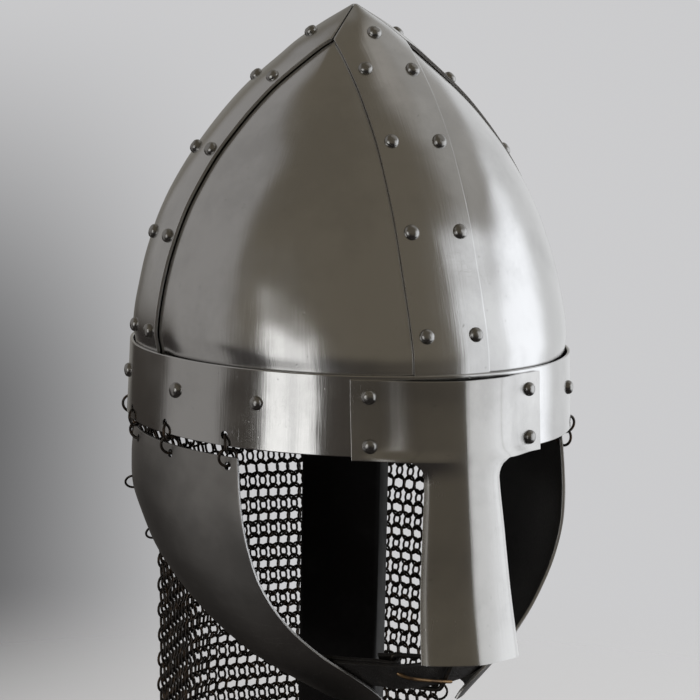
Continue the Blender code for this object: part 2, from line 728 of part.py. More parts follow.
def make_strap():
    lie = CHEEK_WALL + STRAP_ROOM + STRAP_WALL / 2
    layer = STRAP_WALL + GAP
    crest = lie - layer / 2
    hinge_depth = crest + STRAP_WALL * 1.5 + 2 * GAP + BUCKLE_WIRE
    outer_depth = lie - STRAP_WALL / 2 - GAP - BUCKLE_WIRE
    turn_radius = BUCKLE_WIRE + GAP + STRAP_WALL / 2

    left_keys = [(STRAP_HOLD, lie), (BUCKLE_OUTER_ANGLE + 3, lie), (BUCKLE_OUTER_ANGLE - 2, lie),
                 (BUCKLE_HINGE_ANGLE + 3, crest), (BUCKLE_HINGE_ANGLE - 0.5, crest),
                 (BUCKLE_HINGE_ANGLE - 9, lie), (BUCKLE_HINGE_ANGLE - STRAP_TAIL, lie)]
    left = ribbon("chin_strap_left", strap_route(left_keys), BLACK_LEATHER)

    near = hinge_depth - turn_radius
    right_keys = [(-STRAP_HOLD, lie), (-STRAP_HOLD + 5, lie),
                  (BUCKLE_HINGE_ANGLE - STRAP_TAIL - 5, lie + layer),
                  (BUCKLE_HINGE_ANGLE - 8, max(near, lie + layer)), (BUCKLE_HINGE_ANGLE, near)]
    right_route = strap_route(right_keys)
    radius = (strap_place(BUCKLE_HINGE_ANGLE + 1, hinge_depth)
              - strap_place(BUCKLE_HINGE_ANGLE, hinge_depth)).length / math.radians(1)
    for k in range(1, 6):
        a = math.pi * k / 6
        right_route.append((BUCKLE_HINGE_ANGLE + math.degrees(turn_radius * math.sin(a) / radius),
                            hinge_depth - turn_radius * math.cos(a)))
    right_route += [(BUCKLE_HINGE_ANGLE, hinge_depth + turn_radius),
                    (BUCKLE_HINGE_ANGLE - 6, hinge_depth + turn_radius)]
    right = ribbon("chin_strap_right", right_route, BLACK_LEATHER)

    high = STRAP_WIDTH / 2 + BUCKLE_ROOM + BUCKLE_WIRE
    round_off = BUCKLE_WIRE + BUCKLE_ROOM / 3
    span = (strap_place(BUCKLE_OUTER_ANGLE, outer_depth) - strap_place(BUCKLE_HINGE_ANGLE, hinge_depth)).length
    u0 = 1 - 2 * round_off / span
    v0 = 1 - round_off / high
    outline = [(-1, -v0), (-1, v0), (-u0, 1), (u0, 1), (1, v0), (1, -v0), (u0, -1), (-u0, -1)]
    frame = []
    for u, v in outline:
        hinge = strap_place(BUCKLE_HINGE_ANGLE, hinge_depth, high * v)
        outer = strap_place(BUCKLE_OUTER_ANGLE, outer_depth, high * v)
        frame.append(hinge.lerp(outer, (1 + u) / 2))
    tube("buckle_frame", frame, BUCKLE_WIRE, DARK_BUCKLE, closed=True)

    over = outer_depth - BUCKLE_WIRE - GAP - PRONG_WIRE
    prong_keys = [(BUCKLE_HINGE_ANGLE, hinge_depth - BUCKLE_WIRE - GAP - PRONG_WIRE),
                  (BUCKLE_HINGE_ANGLE + 0.9, crest), (BUCKLE_HINGE_ANGLE + 3.6, over + 0.0012),
                  (BUCKLE_HINGE_ANGLE + 7.5, over), (BUCKLE_OUTER_ANGLE, over),
                  (BUCKLE_OUTER_ANGLE + 2.4, over + 0.0004)]
    fall = 0.006
    span = prong_keys[-1][0] - prong_keys[0][0]
    route = [strap_place(angle, depth, fall * (0.5 - (angle - prong_keys[0][0]) / span))
             for angle, depth in prong_keys]
    tube("buckle_prong", route, PRONG_WIRE, BROWN_PRONG)
    for strap in (left, right):
        room = solid_copy(tube(strap.name + "_slot", route, PRONG_WIRE + GAP, BROWN_PRONG))
        combine(strap, room, "DIFFERENCE")


# Stand

def make_stand():
    floor_ring = [Vector((BASE_RADIUS * math.cos(2 * math.pi * k / BASE_SIDES),
                          BASE_RADIUS * math.sin(2 * math.pi * k / BASE_SIDES), 0))
                  for k in range(BASE_SIDES)]
    top_ring = [point + Vector((0, 0, BASE_HEIGHT)) for point in floor_ring]
    stack("stand_base", [floor_ring, top_ring], BLACK_WOOD, bevel=STAND_EDGE)

    block = []
    for share in BLOCK_SHARES:
        block.append([inward(dome_surface, 360 * k / BASE_SIDES, share, BLOCK_INSET)
                      for k in range(BASE_SIDES)])
    for ring in block:
        level = sum(point.z for point in ring) / len(ring)
        for point in ring:
            point.z = level
    stack("stand_block", block, BLACK_WOOD)

    half = POST_WIDTH / 2
    square = [(-half, -half), (half, -half), (half, half), (-half, half)]
    turn = math.radians(POST_TURN)
    corners = [Vector((x * math.cos(turn) - y * math.sin(turn), x * math.sin(turn) + y * math.cos(turn), 0))
               for x, y in square]
    low = BASE_HEIGHT + GAP
    high = block[0][0].z - GAP
    stack("stand_post", [[c + Vector((0, 0, z)) for c in corners] for z in (low, high)], BLACK_WOOD,
          bevel=STAND_EDGE)


def main():
    clear_scene()
    make_dome()
    make_brow()
    make_nasal()
    make_hangers()
    make_cheek("left", 1)
    make_cheek("right", -1)
    make_mail()
    make_strap()
    make_stand()


main()
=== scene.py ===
"""Looks of a spangenhelm on its post stand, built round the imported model.

Run as a script in Blender 4.5. Metres, +Z up. The helmet faces -Y and the wearer's right is -X.
Angles run round the helmet from its front: 0 is the nose, 90 the wearer's left, 180 the back.
"""

import math
import random

import bmesh
import bpy
from bpy.props import FloatProperty, FloatVectorProperty, IntProperty, PointerProperty
from mathutils import Matrix, Vector, noise


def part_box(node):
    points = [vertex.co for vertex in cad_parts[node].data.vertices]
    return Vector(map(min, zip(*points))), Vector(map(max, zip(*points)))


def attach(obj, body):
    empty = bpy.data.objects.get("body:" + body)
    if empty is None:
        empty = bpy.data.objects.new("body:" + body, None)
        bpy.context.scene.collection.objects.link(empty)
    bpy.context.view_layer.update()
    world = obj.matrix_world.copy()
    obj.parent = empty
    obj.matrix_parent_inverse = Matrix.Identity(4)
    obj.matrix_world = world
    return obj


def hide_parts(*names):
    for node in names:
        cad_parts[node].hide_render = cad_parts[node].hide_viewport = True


bl_info = {
    "name": "Spangenhelm",
    "version": (1, 0, 0),
    "blender": (4, 5, 0),
    "location": "View3D > Sidebar > Spangenhelm",
    "description": "Riveted helmet with cheek plates and a mail curtain, on a post stand",
    "category": "Add Mesh",
}

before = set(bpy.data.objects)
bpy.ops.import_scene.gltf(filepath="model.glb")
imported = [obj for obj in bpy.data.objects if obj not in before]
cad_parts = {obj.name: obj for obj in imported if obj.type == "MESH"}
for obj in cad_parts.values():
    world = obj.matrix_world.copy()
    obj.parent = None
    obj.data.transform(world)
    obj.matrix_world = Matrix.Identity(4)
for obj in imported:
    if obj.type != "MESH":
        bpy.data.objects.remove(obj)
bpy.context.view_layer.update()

SIDES = (("left", 1), ("right", -1))

DOME_PROFILE = [
    # height share, length share, width share
    (0.000, 1.000, 1.000),
    (0.057, 0.990, 1.015),
    (0.158, 0.943, 0.997),
    (0.278, 0.873, 0.957),
    (0.404, 0.796, 0.888),
    (0.530, 0.697, 0.784),
    (0.628, 0.607, 0.676),
    (0.751, 0.457, 0.509),
    (0.843, 0.323, 0.349),
    (0.896, 0.233, 0.254),
    (0.947, 0.135, 0.138),
    (1.000, 0.000, 0.000),
]
SIDE_BAND_TURN = 4.2

# Rivets: shares of the dome's height, and degrees round the brow
FRONT_RIVET_SHARES = (0.103, 0.376, 0.617, 0.813)
SIDE_RIVET_SHARES = (0.056, 0.329, 0.576, 0.785)
TOP_RIVET_SHARE = 0.915
BROW_RIVET_ANGLES = (49.0, 74.0, 107.0, 131.0, 163.0)
RIVET_PROFILE = [
    # share of the radius, share of the height
    (1.00, -0.30),
    (1.00, 0.10),
    (0.96, 0.34),
    (0.82, 0.66),
    (0.58, 0.88),
    (0.30, 0.98),
    (0.00, 1.00),
]
# How far rivet heads differ: lean, size and squash as shares, roughness in metres
RIVET_LEAN = 0.06
RIVET_VARIETY = 0.05
RIVET_SQUASH = 0.06
RIVET_ROUGHNESS = 0.00012

# Where the dome's sheets end, as shares of its height, and how a plate swells beside a band, in metres
PLATE_TOP_SHARE = 0.985
BAND_TOP_SHARE = 0.9965
PLATE_SEAM = 0.0008
BULGE_RUN = 0.012
DIP_RUN = 0.003
PLATE_CELLS = 96

# Rounding of cut edges, in metres
BAND_EDGE = 0.0006
BROW_EDGE = 0.0004
SHEET_EDGE = 0.0005
# Degrees between two faces: past these, a sheet's edge is rounded, and an edge is shaded sharp
ROUNDED_ANGLE = 60.0
SHARP_ANGLE = 50.0
# Length of the pins that cut holes, in metres
PIN_LENGTH = 0.008

# Length of each sheet for its UV map, in metres, and of a band in dome heights
PLATE_REACH = 0.16
BAND_REACH = 1.3
BROW_REACH = 0.68
CHEEK_REACH = 0.10
STRAP_REACH = 0.09

# Share of the dent's depth, and size in metres
HAMMER_MARKS = ((1.0, 0.034), (0.35, 0.012))
BROW_RIPPLES = ((0.30, 0.021), (0.09, 0.0075))
# Share of the hammer marks that a sheet other than the dome's takes
BROW_HAMMERING = 0.5
GUARD_HAMMERING = 0.5
CHEEK_HAMMERING = 0.8

NASAL_PROFILE = [
    # drop share, half-width in metres, keel rise share, lean share
    (0.0000, 0.0200, 0.76, 0.00),
    (0.0900, 0.0196, 0.80, 0.02),
    (0.2500, 0.0200, 0.90, 0.10),
    (0.2850, 0.0240, 0.92, 0.12),
    (0.3000, 0.0210, 0.93, 0.13),
    (0.3200, 0.0190, 0.94, 0.14),
    (0.3550, 0.0181, 0.95, 0.17),
    (0.5400, 0.0197, 1.00, 0.38),
    (0.7600, 0.0217, 1.10, 0.62),
    (0.9200, 0.0230, 1.30, 0.86),
    (1.0000, 0.0236, 1.40, 1.00),
]
TEE_RIVET_ANGLE = 22.0
TEE_RIVET_DROPS = (0.0087, 0.0297)
# Shares of the keel's rise that the nose loses, of the half-width that the slope to an arm takes,
# of the guard's drop where its turned-back lip starts and is full, and of the half-width inside the lip
KEEL_FALL = 0.42
ARM_SLOPE = 0.79
LIP_START = 0.30
LIP_RUN = 0.05
LIP_REACH = 0.86

CHEEK_PROFILE = [
    # drop share, reach share of the brow, forward share of its length, front angle, rear angle
    (0.000, 0.975, 0.000, 55.0, 108.0),
    (0.035, 0.981, 0.000, 54.6, 110.2),
    (0.130, 0.990, 0.004, 54.0, 111.5),
    (0.254, 0.990, 0.017, 53.3, 112.0),
    (0.356, 0.964, 0.050, 53.5, 113.3),
    (0.485, 0.914, 0.085, 52.9, 115.0),
    (0.600, 0.844, 0.128, 51.2, 115.4),
    (0.698, 0.768, 0.172, 48.0, 114.0),
    (0.790, 0.680, 0.220, 42.0, 111.0),
    (0.865, 0.590, 0.274, 34.5, 108.6),
    (0.920, 0.502, 0.336, 30.0, 105.5),
    (0.962, 0.420, 0.402, 28.2, 100.8),
    (1.000, 0.340, 0.472, 31.0, 93.0),
]
# Rings: degrees round the helmet, degrees that a ring turns, and shares of a cheek plate's height
HANGER_ANGLES = (57.5, 78.0, 99.0)
HANGER_TWIST = 34.0
MAIL_HANGER_ANGLES = (119.0, 143.0, 168.0)
LOOSE_RING_SHARES = (0.23, 0.45, 0.55, 0.88)
LOOSE_RING_SAG = 55.0

MAIL_PROFILE = [
    # drop share, reach share of the brow, angle of the free edge
    (0.000, 1.000, 113.5),
    (0.025, 0.988, 113.8),
    (0.080, 0.955, 114.5),
    (0.140, 0.920, 115.5),
    (0.200, 0.888, 116.5),
    (0.270, 0.868, 117.5),
    (0.600, 0.862, 118.0),
    (1.000, 0.868, 117.0),
]
MAIL_FOLDS = 3.5
# How far a mail ring strays: metres up or down, degrees of sway, and a share of nod
MAIL_LIFT = 0.00012
MAIL_SWAY = 3.5
MAIL_NOD = 0.05

# Strap and buckle: a share of the cheek plates' height, then degrees round the helmet
STRAP_SHARE = 0.871
STRAP_HOLD = 62.0
STRAP_TAIL = 24.0
BUCKLE_HINGE_ANGLE = -17.0
BUCKLE_OUTER_ANGLE = 8.0
# Metres that the prong falls along its length, and dips before the frame and at its tip
PRONG_FALL = 0.006
PRONG_DIP = 0.0012
PRONG_TIP_DIP = 0.0004
# Degrees that the post is turned
POST_TURN = -31.7

# Stage: metres, watts, and degrees for the camera's turn, rise and roll
FLOOR_RADIUS = 0.85
FLOOR_FADE = (0.30, 0.80)
FLOOR_DROP = 0.0005
LAMP_SIZE = 1.6
LAMP_POWER = 34.0
LAMP_PLACE = (0.9, -0.2, 1.7)
CAMERA_LENS = 120.09
CAMERA_TURN = -24.2486
CAMERA_RISE = 7.878
CAMERA_ROLL = 1.1179
CAMERA_PLACE = (-0.4493, -0.9996, 0.4472)
STUDIO_LIGHTS = [
    # lowest and highest turn to the wearer's left, lowest and highest height, soft edges of both, light
    (90, 152, -24, 36, 14, 14, (0.80, 0.81, 0.82)),
    (152, 179, -14, 60, 12, 12, (0.26, 0.25, 0.23)),
    (56, 134, 34, 62, 14, 8, (0.42, 0.41, 0.39)),
    (62, 134, 60, 78, 12, 4, (0.40, 0.38, 0.35)),
    (58, 100, -26, 27, 7, 8, (1.48, 1.52, 1.58)),
    (32, 60, -26, 35, 3, 5, (1.05, 1.07, 1.09)),
    (-138, -101, -42, 5, 4, 6, (0.30, 0.29, 0.28)),
    (-79, -51, -15, 18, 2, 5, (1.42, 1.42, 1.40)),
    (-65, -62, -16, 18, 1.5, 5, (0.85, 0.85, 0.85)),
    (-176, -94, -2, 56, 4, 6, (0.34, 0.33, 0.32)),
]
ROOM_BELOW = (0.034, 0.030, 0.028)
ROOM_ABOVE = (0.150, 0.132, 0.102)
# Half the height over which the room brightens, in degrees
ROOM_BLEND = 14.0
# The painted shadow on the backdrop, a darker patch in the columns of the lights above, and its share of
# the light
BACKDROP_SHADOW_PATCH = (161.5, 173.0, -90.0, -4.0, 5.0, 6.0)
BACKDROP_SHADE = 0.16


def length(name, description, default):
    """A length in metres that a user may change."""
    return FloatProperty(name=name, description=description, default=default, min=0.0, precision=4,
                         subtype="DISTANCE", unit="LENGTH")


def colour(name, description, default):
    """A colour that a user may change."""
    return FloatVectorProperty(name=name, description=description, default=default, size=3,
                               min=0.0, max=1.0, subtype="COLOR")


class HelmetSizes(bpy.types.PropertyGroup):
    """Sizes of the dome, the brow band and the rivets."""
    gap: length("Gap", "Clearance between pieces that touch", 0.0003)
    brow_top: length("Brow top", "Height of the brow band's top edge above the floor", 0.300)
    brow_half_length: length("Brow half length", "Half the brow band's length, front to back", 0.1145)
    brow_half_width: length("Brow half width", "Half the brow band's width", 0.1015)
    brow_height: length("Brow height", "Height of the brow band", 0.035)
    brow_wall: length("Brow wall", "Thickness of the brow band", 0.0016)
    brow_flare: length("Brow flare", "How far the band's lower edge stands out", 0.0012)
    dome_height: length("Dome height", "Height of the dome above the brow band's top edge", 0.1584)
    plate_wall: length("Plate wall", "Thickness of the dome plates", 0.0014)
    band_wall: length("Band wall", "Thickness of the dome bands", 0.0014)
    band_width: length("Band width", "Width of the dome bands", 0.036)
    skirt: length("Skirt", "How far the dome reaches down inside the brow band", 0.012)
    plate_bulge: length("Plate bulge", "How far a plate stands out between the bands", 0.0008)
    plate_dip: length("Plate dip", "How far a plate sinks beside a band's edge", 0.0002)
    rivet_radius: length("Rivet radius", "Radius of a rivet's head", 0.0033)
    rivet_rise: length("Rivet rise", "Height of a rivet's head", 0.0024)
    rivet_spacing: length("Rivet spacing", "Distance between the rivets of a pair", 0.0235)
    brow_rivet_drop: length("Brow rivet drop", "Rivets below the brow band's top edge", 0.0145)
    dent: length("Dent", "Depth of the hammered unevenness", 0.00030)


class GuardSizes(bpy.types.PropertyGroup):
    """Sizes of the nasal guard."""
    wall: length("Guard wall", "Thickness of the nasal guard", 0.0016)
    half_span: length("Half span", "Half the width across the guard's arms", 0.0458)
    top_drop: length("Top drop", "Guard's top edge below the brow band's top edge", 0.0015)
    arm_height: length("Arm height", "Height of the guard's arms", 0.0345)
    bottom_drop: length("Bottom drop", "Guard's tip below the brow band's top edge", 0.1209)
    keel: length("Keel", "Height of the keel down the guard's middle", 0.0085)
    lean: length("Lean", "How far the guard's tip leans forward", 0.0140)
    lip: length("Lip", "How far the guard's long edges are turned back", 0.0011)
    ridge: FloatProperty(name="Ridge", description="Roundness of the keel, as a share of the half-width",
                         default=0.14, min=0.001)


class CheekSizes(bpy.types.PropertyGroup):
    """Sizes of the cheek plates."""
    wall: length("Cheek wall", "Thickness of the cheek plates", 0.0014)
    height: length("Cheek height", "Height of the cheek plates", 0.1126)
    hole_drop: length("Hole drop", "Ring holes below the plate's top edge", 0.0040)
    set_back: length("Set back", "How far the plate hangs inside the brow band", 0.0030)


class RingSizes(bpy.types.PropertyGroup):
    """Sizes of the rings and of their holes."""
    hole_radius: length("Hole radius", "Radius of the holes that rings pass through", 0.0019)
    hole_rise: length("Hole rise", "Holes above the brow band's lower edge", 0.0047)
    radius: length("Ring radius", "Radius of a hanging ring at its wire's middle", 0.0040)
    wire: length("Ring wire", "Wire of the hanging rings", 0.0013)
    loose_wire: length("Loose ring wire", "Wire of the loose rings", 0.0011)
    loose_inset: length("Loose ring inset", "Loose rings' holes inside the plate's rear edge", 0.0030)
    sides: IntProperty(name="Ring sides", description="Sides round a hanging ring", default=28, min=8)
    wire_sides: IntProperty(name="Wire sides", description="Sides round its wire", default=10, min=4)


class MailSizes(bpy.types.PropertyGroup):
    """Sizes of the mail."""
    radius: length("Mail ring radius", "Radius of a mail ring at its wire's middle", 0.0043)
    wire: length("Mail wire", "Wire of the mail rings", 0.00132)
    row: length("Row spacing", "Height from one row of rings to the next", 0.0062)
    drop: length("Mail drop", "Length of the mail curtain", 0.200)
    wall: length("Mail wall", "Thickness of the mail as it hangs", 0.0030)
    fold: length("Fold depth", "Depth of the curtain's folds at its hem", 0.0035)
    step: FloatProperty(name="Ring step", description="Degrees round the helmet from ring to ring",
                        default=3.75, min=1.0)
    tilt: FloatProperty(name="Ring tilt", description="Degrees that the rings of a row lean",
                        default=26.0, min=0.0, max=60.0)
    sides: IntProperty(name="Mail ring sides", description="Sides round a mail ring", default=16, min=8)
    wire_sides: IntProperty(name="Mail wire sides", description="Sides round its wire", default=6, min=4)


class StrapSizes(bpy.types.PropertyGroup):
    """Sizes of the chin strap and its buckle."""
    wall: length("Strap wall", "Thickness of the leather", 0.0020)
    width: length("Strap width", "Width of the leather", 0.0140)
    room: length("Strap room", "Clearance from the cheek plates", 0.0014)
    buckle_wire: length("Buckle wire", "Radius of the buckle's wire", 0.0011)
    buckle_room: length("Buckle room", "Clearance between strap and buckle", 0.0010)
    prong_wire: length("Prong wire", "Radius of the prong", 0.0008)


class StandSizes(bpy.types.PropertyGroup):
    """Sizes of the stand."""
    post_width: length("Post width", "Side of the square post", 0.037)
    base_radius: length("Base radius", "Radius of the round base", 0.110)
    base_height: length("Base height", "Thickness of the round base", 0.022)
    edge: length("Edge", "Rounding of the wood's edges", 0.0025)


class Finishes(bpy.types.PropertyGroup):
    """Colours of the finishes."""
    steel: colour("Steel", "Polished steel", (0.62, 0.615, 0.61))
    satin: colour("Satin steel", "Duller steel of the cheek plates", (0.36, 0.35, 0.34))
    # The inner faces' near-black colour is painted shade, for the dark that the cheek plates' insides
    # mirror.
    inside: colour("Inside", "Blackened inner faces", (0.020, 0.020, 0.021))
    wire: colour("Wire", "Blackened wire of the rings and mail", (0.060, 0.052, 0.046))
    leather: colour("Leather", "Strap leather", (0.016, 0.014, 0.013))
    buckle: colour("Buckle", "Blackened buckle", (0.050, 0.047, 0.045))
    prong: colour("Prong", "Tarnished prong", (0.30, 0.19, 0.10))
    wood: colour("Wood", "Black paint on the stand", (0.007, 0.006, 0.006))
    backdrop: colour("Backdrop", "Pale ground behind everything", (0.60, 0.60, 0.61))


# Shader maths

class Value:
    """An output of a shader node, on which arithmetic adds Math nodes."""

    def __init__(self, tree, socket):
        self.tree = tree
        self.socket = socket

    def math(self, operation, *values):
        """A Math node on values, which are wrapped sockets or numbers."""
        return self.tree.node("ShaderNodeMath", {"operation": operation}, *values)

    def __add__(self, other):
        return self.math("ADD", self, other)

    def __sub__(self, other):
        return self.math("SUBTRACT", self, other)

    def __rsub__(self, other):
        return self.math("SUBTRACT", other, self)

    def __mul__(self, other):
        return self.math("MULTIPLY", self, other)

    def __pow__(self, other):
        return self.math("POWER", self, other)

    __radd__ = __add__
    __rmul__ = __mul__

    def step(self, low, high):
        """0 below low, 1 above high, and a smooth rise between."""
        settings = {"interpolation_type": "SMOOTHSTEP"}
        return self.tree.node("ShaderNodeMapRange", settings, self, low, high, 0.0, 1.0)

    def mix(self, first, second):
        """The first colour where this is 0, and the second where it is 1."""
        colours = {"6": as_colour(first), "7": as_colour(second)}
        return self.tree.node("ShaderNodeMix", {"data_type": "RGBA"}, out=2, Factor=self, **colours)


def as_colour(value):
    """A colour for a socket, with its alpha, or the value that gives one."""
    return value if isinstance(value, Value) else (*value, 1.0)


class Tree:
    """A node tree that is written as expressions."""

    def __init__(self, tree):
        self.tree = tree
        tree.nodes.clear()

    def node(self, kind, settings=None, *values, out=0, **named):
        """Add a node: its settings first, then its sockets by order or by name, and give one output."""
        made = self.tree.nodes.new(kind)
        for key, value in (settings or {}).items():
            setattr(made, key, value)
        for key, value in [*enumerate(values), *named.items()]:
            slot = int(key) if str(key).isdigit() else key.replace("_", " ")
            socket = made.inputs[slot]
            if isinstance(value, Value):
                self.tree.links.new(value.socket, socket)
            else:
                socket.default_value = value
        return Value(self, made.outputs[out] if made.outputs else None)

    def split(self, vector):
        """The three numbers of a vector."""
        parts = self.node("ShaderNodeSeparateXYZ", {}, Vector=vector).socket.node.outputs
        return [Value(self, part) for part in parts]

    def noise(self, place, scale, detail=3.0, roughness=0.5):
        """Noise from 0 to 1 over a place."""
        return self.node("ShaderNodeTexNoise", {}, Vector=place, Scale=scale, Detail=detail,
                         Roughness=roughness)

    def place(self, output="Object"):
        """Where on the piece, or on its UV map, a point lies."""
        return self.node("ShaderNodeTexCoord", {}, out=output)

    def stretched(self, place, scale, turn=(0.0, 0.0, 0.0)):
        """A place scaled along each axis, and turned."""
        return self.node("ShaderNodeMapping", {}, Vector=place, Scale=scale, Rotation=turn)

    def bump(self, height, distance):
        """A normal for relief of a height from 0 to 1, over a distance in metres."""
        return self.node("ShaderNodeBump", {}, Height=height, Distance=distance, Strength=1.0)


def new_material(name):
    """A new material and its empty tree."""
    made = bpy.data.materials.new(name)
    made.use_nodes = True
    return made, Tree(made.node_tree)


def surface(made, tree, **sockets):
    """Finish a material with one Principled shader."""
    shader = tree.node("ShaderNodeBsdfPrincipled", {}, **sockets)
    tree.node("ShaderNodeOutputMaterial", {}, Surface=shader)
    return made


def scratches(tree, place, scale, turn, share):
    """Thin lines at random places, 1 on a line and 0 elsewhere."""
    middle = tree.noise(tree.stretched(place, scale, turn), 1.0, detail=2.0) - 0.5
    return middle.math("ABSOLUTE", middle).step(share, 0.0)


def polished_steel(name, tint, roughness, streak):
    """Hand-finished steel: long brushed streaks, fine scratches and faint tarnish."""
    made, tree = new_material(name)
    spot = tree.place()
    uv = tree.place("UV")
    tarnish = tree.noise(spot, 24.0, detail=6.0, roughness=0.62)
    brushed = tree.noise(tree.stretched(uv, (900.0, 26.0, 1.0)), 1.0, detail=3.0)
    grain = tree.noise(tree.stretched(uv, (2600.0, 120.0, 1.0)), 1.0, detail=2.0)
    first = scratches(tree, spot, (170.0, 150.0, 6.0), (0.5, 0.3, 0.2), 0.004)
    second = scratches(tree, spot, (7.0, 210.0, 190.0), (0.4, 1.1, 0.7), 0.003)
    pits = tree.noise(spot, 420.0, detail=1.0).step(0.74, 0.80)
    lines = first.math("MAXIMUM", first, second) * tree.noise(spot, 34.0).step(0.56, 0.70)
    dark = tuple(0.72 * c for c in tint)
    worn = (tarnish.step(0.42, 0.66) * 0.40 + pits * 0.35).mix(tint, dark)
    rough = roughness + (tarnish - 0.5) * 0.14 + (brushed - 0.5) * 0.08 + lines * 0.06
    height = brushed * 0.5 * streak + grain * 0.25 * streak - lines * 0.22 - pits * 0.5
    return surface(made, tree, Base_Color=worn, Metallic=1.0, Roughness=rough,
                   Normal=tree.bump(height, 0.00004))


def satin_steel(name, tint):
    """Duller steel with a soft grain."""
    made, tree = new_material(name)
    spot = tree.place()
    cloud = tree.noise(spot, 18.0, detail=4.0, roughness=0.6)
    grain = tree.noise(tree.stretched(tree.place("UV"), (160.0, 1500.0, 1.0)), 1.0)
    lines = scratches(tree, spot, (140.0, 12.0, 160.0), (0.2, 0.9, 0.4), 0.005)
    dark = tuple(0.66 * c for c in tint)
    return surface(made, tree, Base_Color=cloud.step(0.35, 0.70).mix(tint, dark), Metallic=1.0,
                   Roughness=0.40 + (cloud - 0.5) * 0.14 + (grain - 0.5) * 0.08 + lines * 0.1,
                   Normal=tree.bump(grain * 0.5 - lines * 0.5, 0.00004))


def blackened(name, tint, metallic, roughness, warm):
    """Blackened metal with faint brown patches where the black has worn."""
    made, tree = new_material(name)
    spot = tree.place()
    patch = tree.noise(spot, 240.0, detail=3.0)
    rub = tree.noise(spot, 900.0, detail=2.0)
    return surface(made, tree, Base_Color=patch.step(0.45, 0.72).mix(tint, warm), Metallic=metallic,
                   Roughness=roughness + (rub - 0.5) * 0.25,
                   Normal=tree.bump(rub, 0.00006))


def leather(name, tint):
    """Black leather with fine creases, browner where it is worn."""
    made, tree = new_material(name)
    spot = tree.place()
    cells = tree.node("ShaderNodeTexVoronoi", {"feature": "DISTANCE_TO_EDGE"}, Vector=spot, Scale=900.0)
    crease = tree.noise(spot, 130.0, detail=4.0)
    worn = tuple(2.4 * c for c in tint)
    return surface(made, tree, Base_Color=crease.step(0.50, 0.80).mix(tint, worn),
                   Roughness=0.52 + (crease - 0.5) * 0.3,
                   Normal=tree.bump(cells.step(0.0, 0.12) + crease * 0.8, 0.00012))


def painted_wood(name, tint):
    """Matt black paint over wood whose grain shows through a little."""
    made, tree = new_material(name)
    spot = tree.place()
    grain = tree.noise(tree.stretched(spot, (260.0, 260.0, 9.0)), 1.0, detail=4.0, roughness=0.6)
    dust = tree.noise(spot, 60.0, detail=5.0, roughness=0.7)
    pale = tuple(c + 0.008 for c in tint)
    return surface(made, tree, Specular_IOR_Level=0.12, Base_Color=dust.step(0.45, 0.85).mix(tint, pale),
                   Roughness=0.58 + (dust - 0.5) * 0.3,
                   Normal=tree.bump(grain * 0.6 + dust * 0.3, 0.00015))


def finish(name):
    """The material of one finish, made once."""
    made = bpy.data.materials.get(name)
    if made:
        return made
    looks = bpy.context.scene.helmet_finishes

    def worn_steel(share):
        """A share of the steel's colour, a little warmer."""
        return (share * looks.steel[0], 0.99 * share * looks.steel[1], 0.97 * share * looks.steel[2])

    makers = {
        "dome_steel": lambda: polished_steel(name, tuple(looks.steel), 0.19, 1.0),
        "band_steel": lambda: polished_steel(name, tuple(looks.steel), 0.19, 1.2),
        "brow_steel": lambda: polished_steel(name, tuple(looks.steel), 0.14, 1.0),
        "guard_steel": lambda: polished_steel(name, worn_steel(0.80), 0.24, 0.8),
        "rivet_steel": lambda: polished_steel(name, worn_steel(0.62), 0.27, 0.6),
        "edge_steel": lambda: polished_steel(name, tuple(looks.steel), 0.42, 0.0),
        "cheek_steel": lambda: satin_steel(name, tuple(looks.satin)),
        # Painted shade: the cheek plates' inner faces are coloured near-black, with no worn patches.
        "inside_painted_shade": lambda: blackened(name, tuple(looks.inside), 0.3, 0.42, tuple(looks.inside)),
        "black_wire": lambda: blackened(name, tuple(looks.wire), 0.85, 0.42, (0.11, 0.075, 0.05)),
        "buckle_black": lambda: blackened(name, tuple(looks.buckle), 0.8, 0.40, (0.09, 0.07, 0.05)),
        "prong_brown": lambda: blackened(name, tuple(looks.prong), 0.9, 0.36, (0.16, 0.10, 0.06)),
        "strap_leather": lambda: leather(name, tuple(looks.leather)),
        "stand_wood": lambda: painted_wood(name, tuple(looks.wood)),
    }
    return makers[name]()


# Pieces

def add_piece(name, mesh, finishes, nodes=()):
    """Show a finished mesh as a piece of the one body, in place of CAD nodes."""
    piece = bpy.data.objects.new(name, mesh)
    for each in finishes:
        mesh.materials.append(finish(each))
    bpy.context.scene.collection.objects.link(piece)
    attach(piece, "root")
    if nodes:
        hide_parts(*nodes)
    return piece


def settle(piece):
    """Apply a piece's modifiers, and share out smooth and sharp edges."""
    seen = piece.evaluated_get(bpy.context.evaluated_depsgraph_get())
    mesh = bpy.data.meshes.new_from_object(seen)
    piece.modifiers.clear()
    piece.data = mesh
    mesh.shade_smooth()
    mesh.set_sharp_from_angle(angle=math.radians(SHARP_ANGLE))


def from_bmesh(name, bm):
    """A smooth-shaded mesh from a bmesh, which is freed."""
    mesh = bpy.data.meshes.new(name)
    bm.to_mesh(mesh)
    bm.free()
    mesh.shade_smooth()
    return mesh


def tight(u, count, margin):
    """Move a grid's second and last-but-one lines close to its ends, which keeps its edges crisp."""
    k = round(u * count)
    if k in (0, count):
        return k / count
    return margin + (k - 1) / (count - 2) * (1 - 2 * margin)


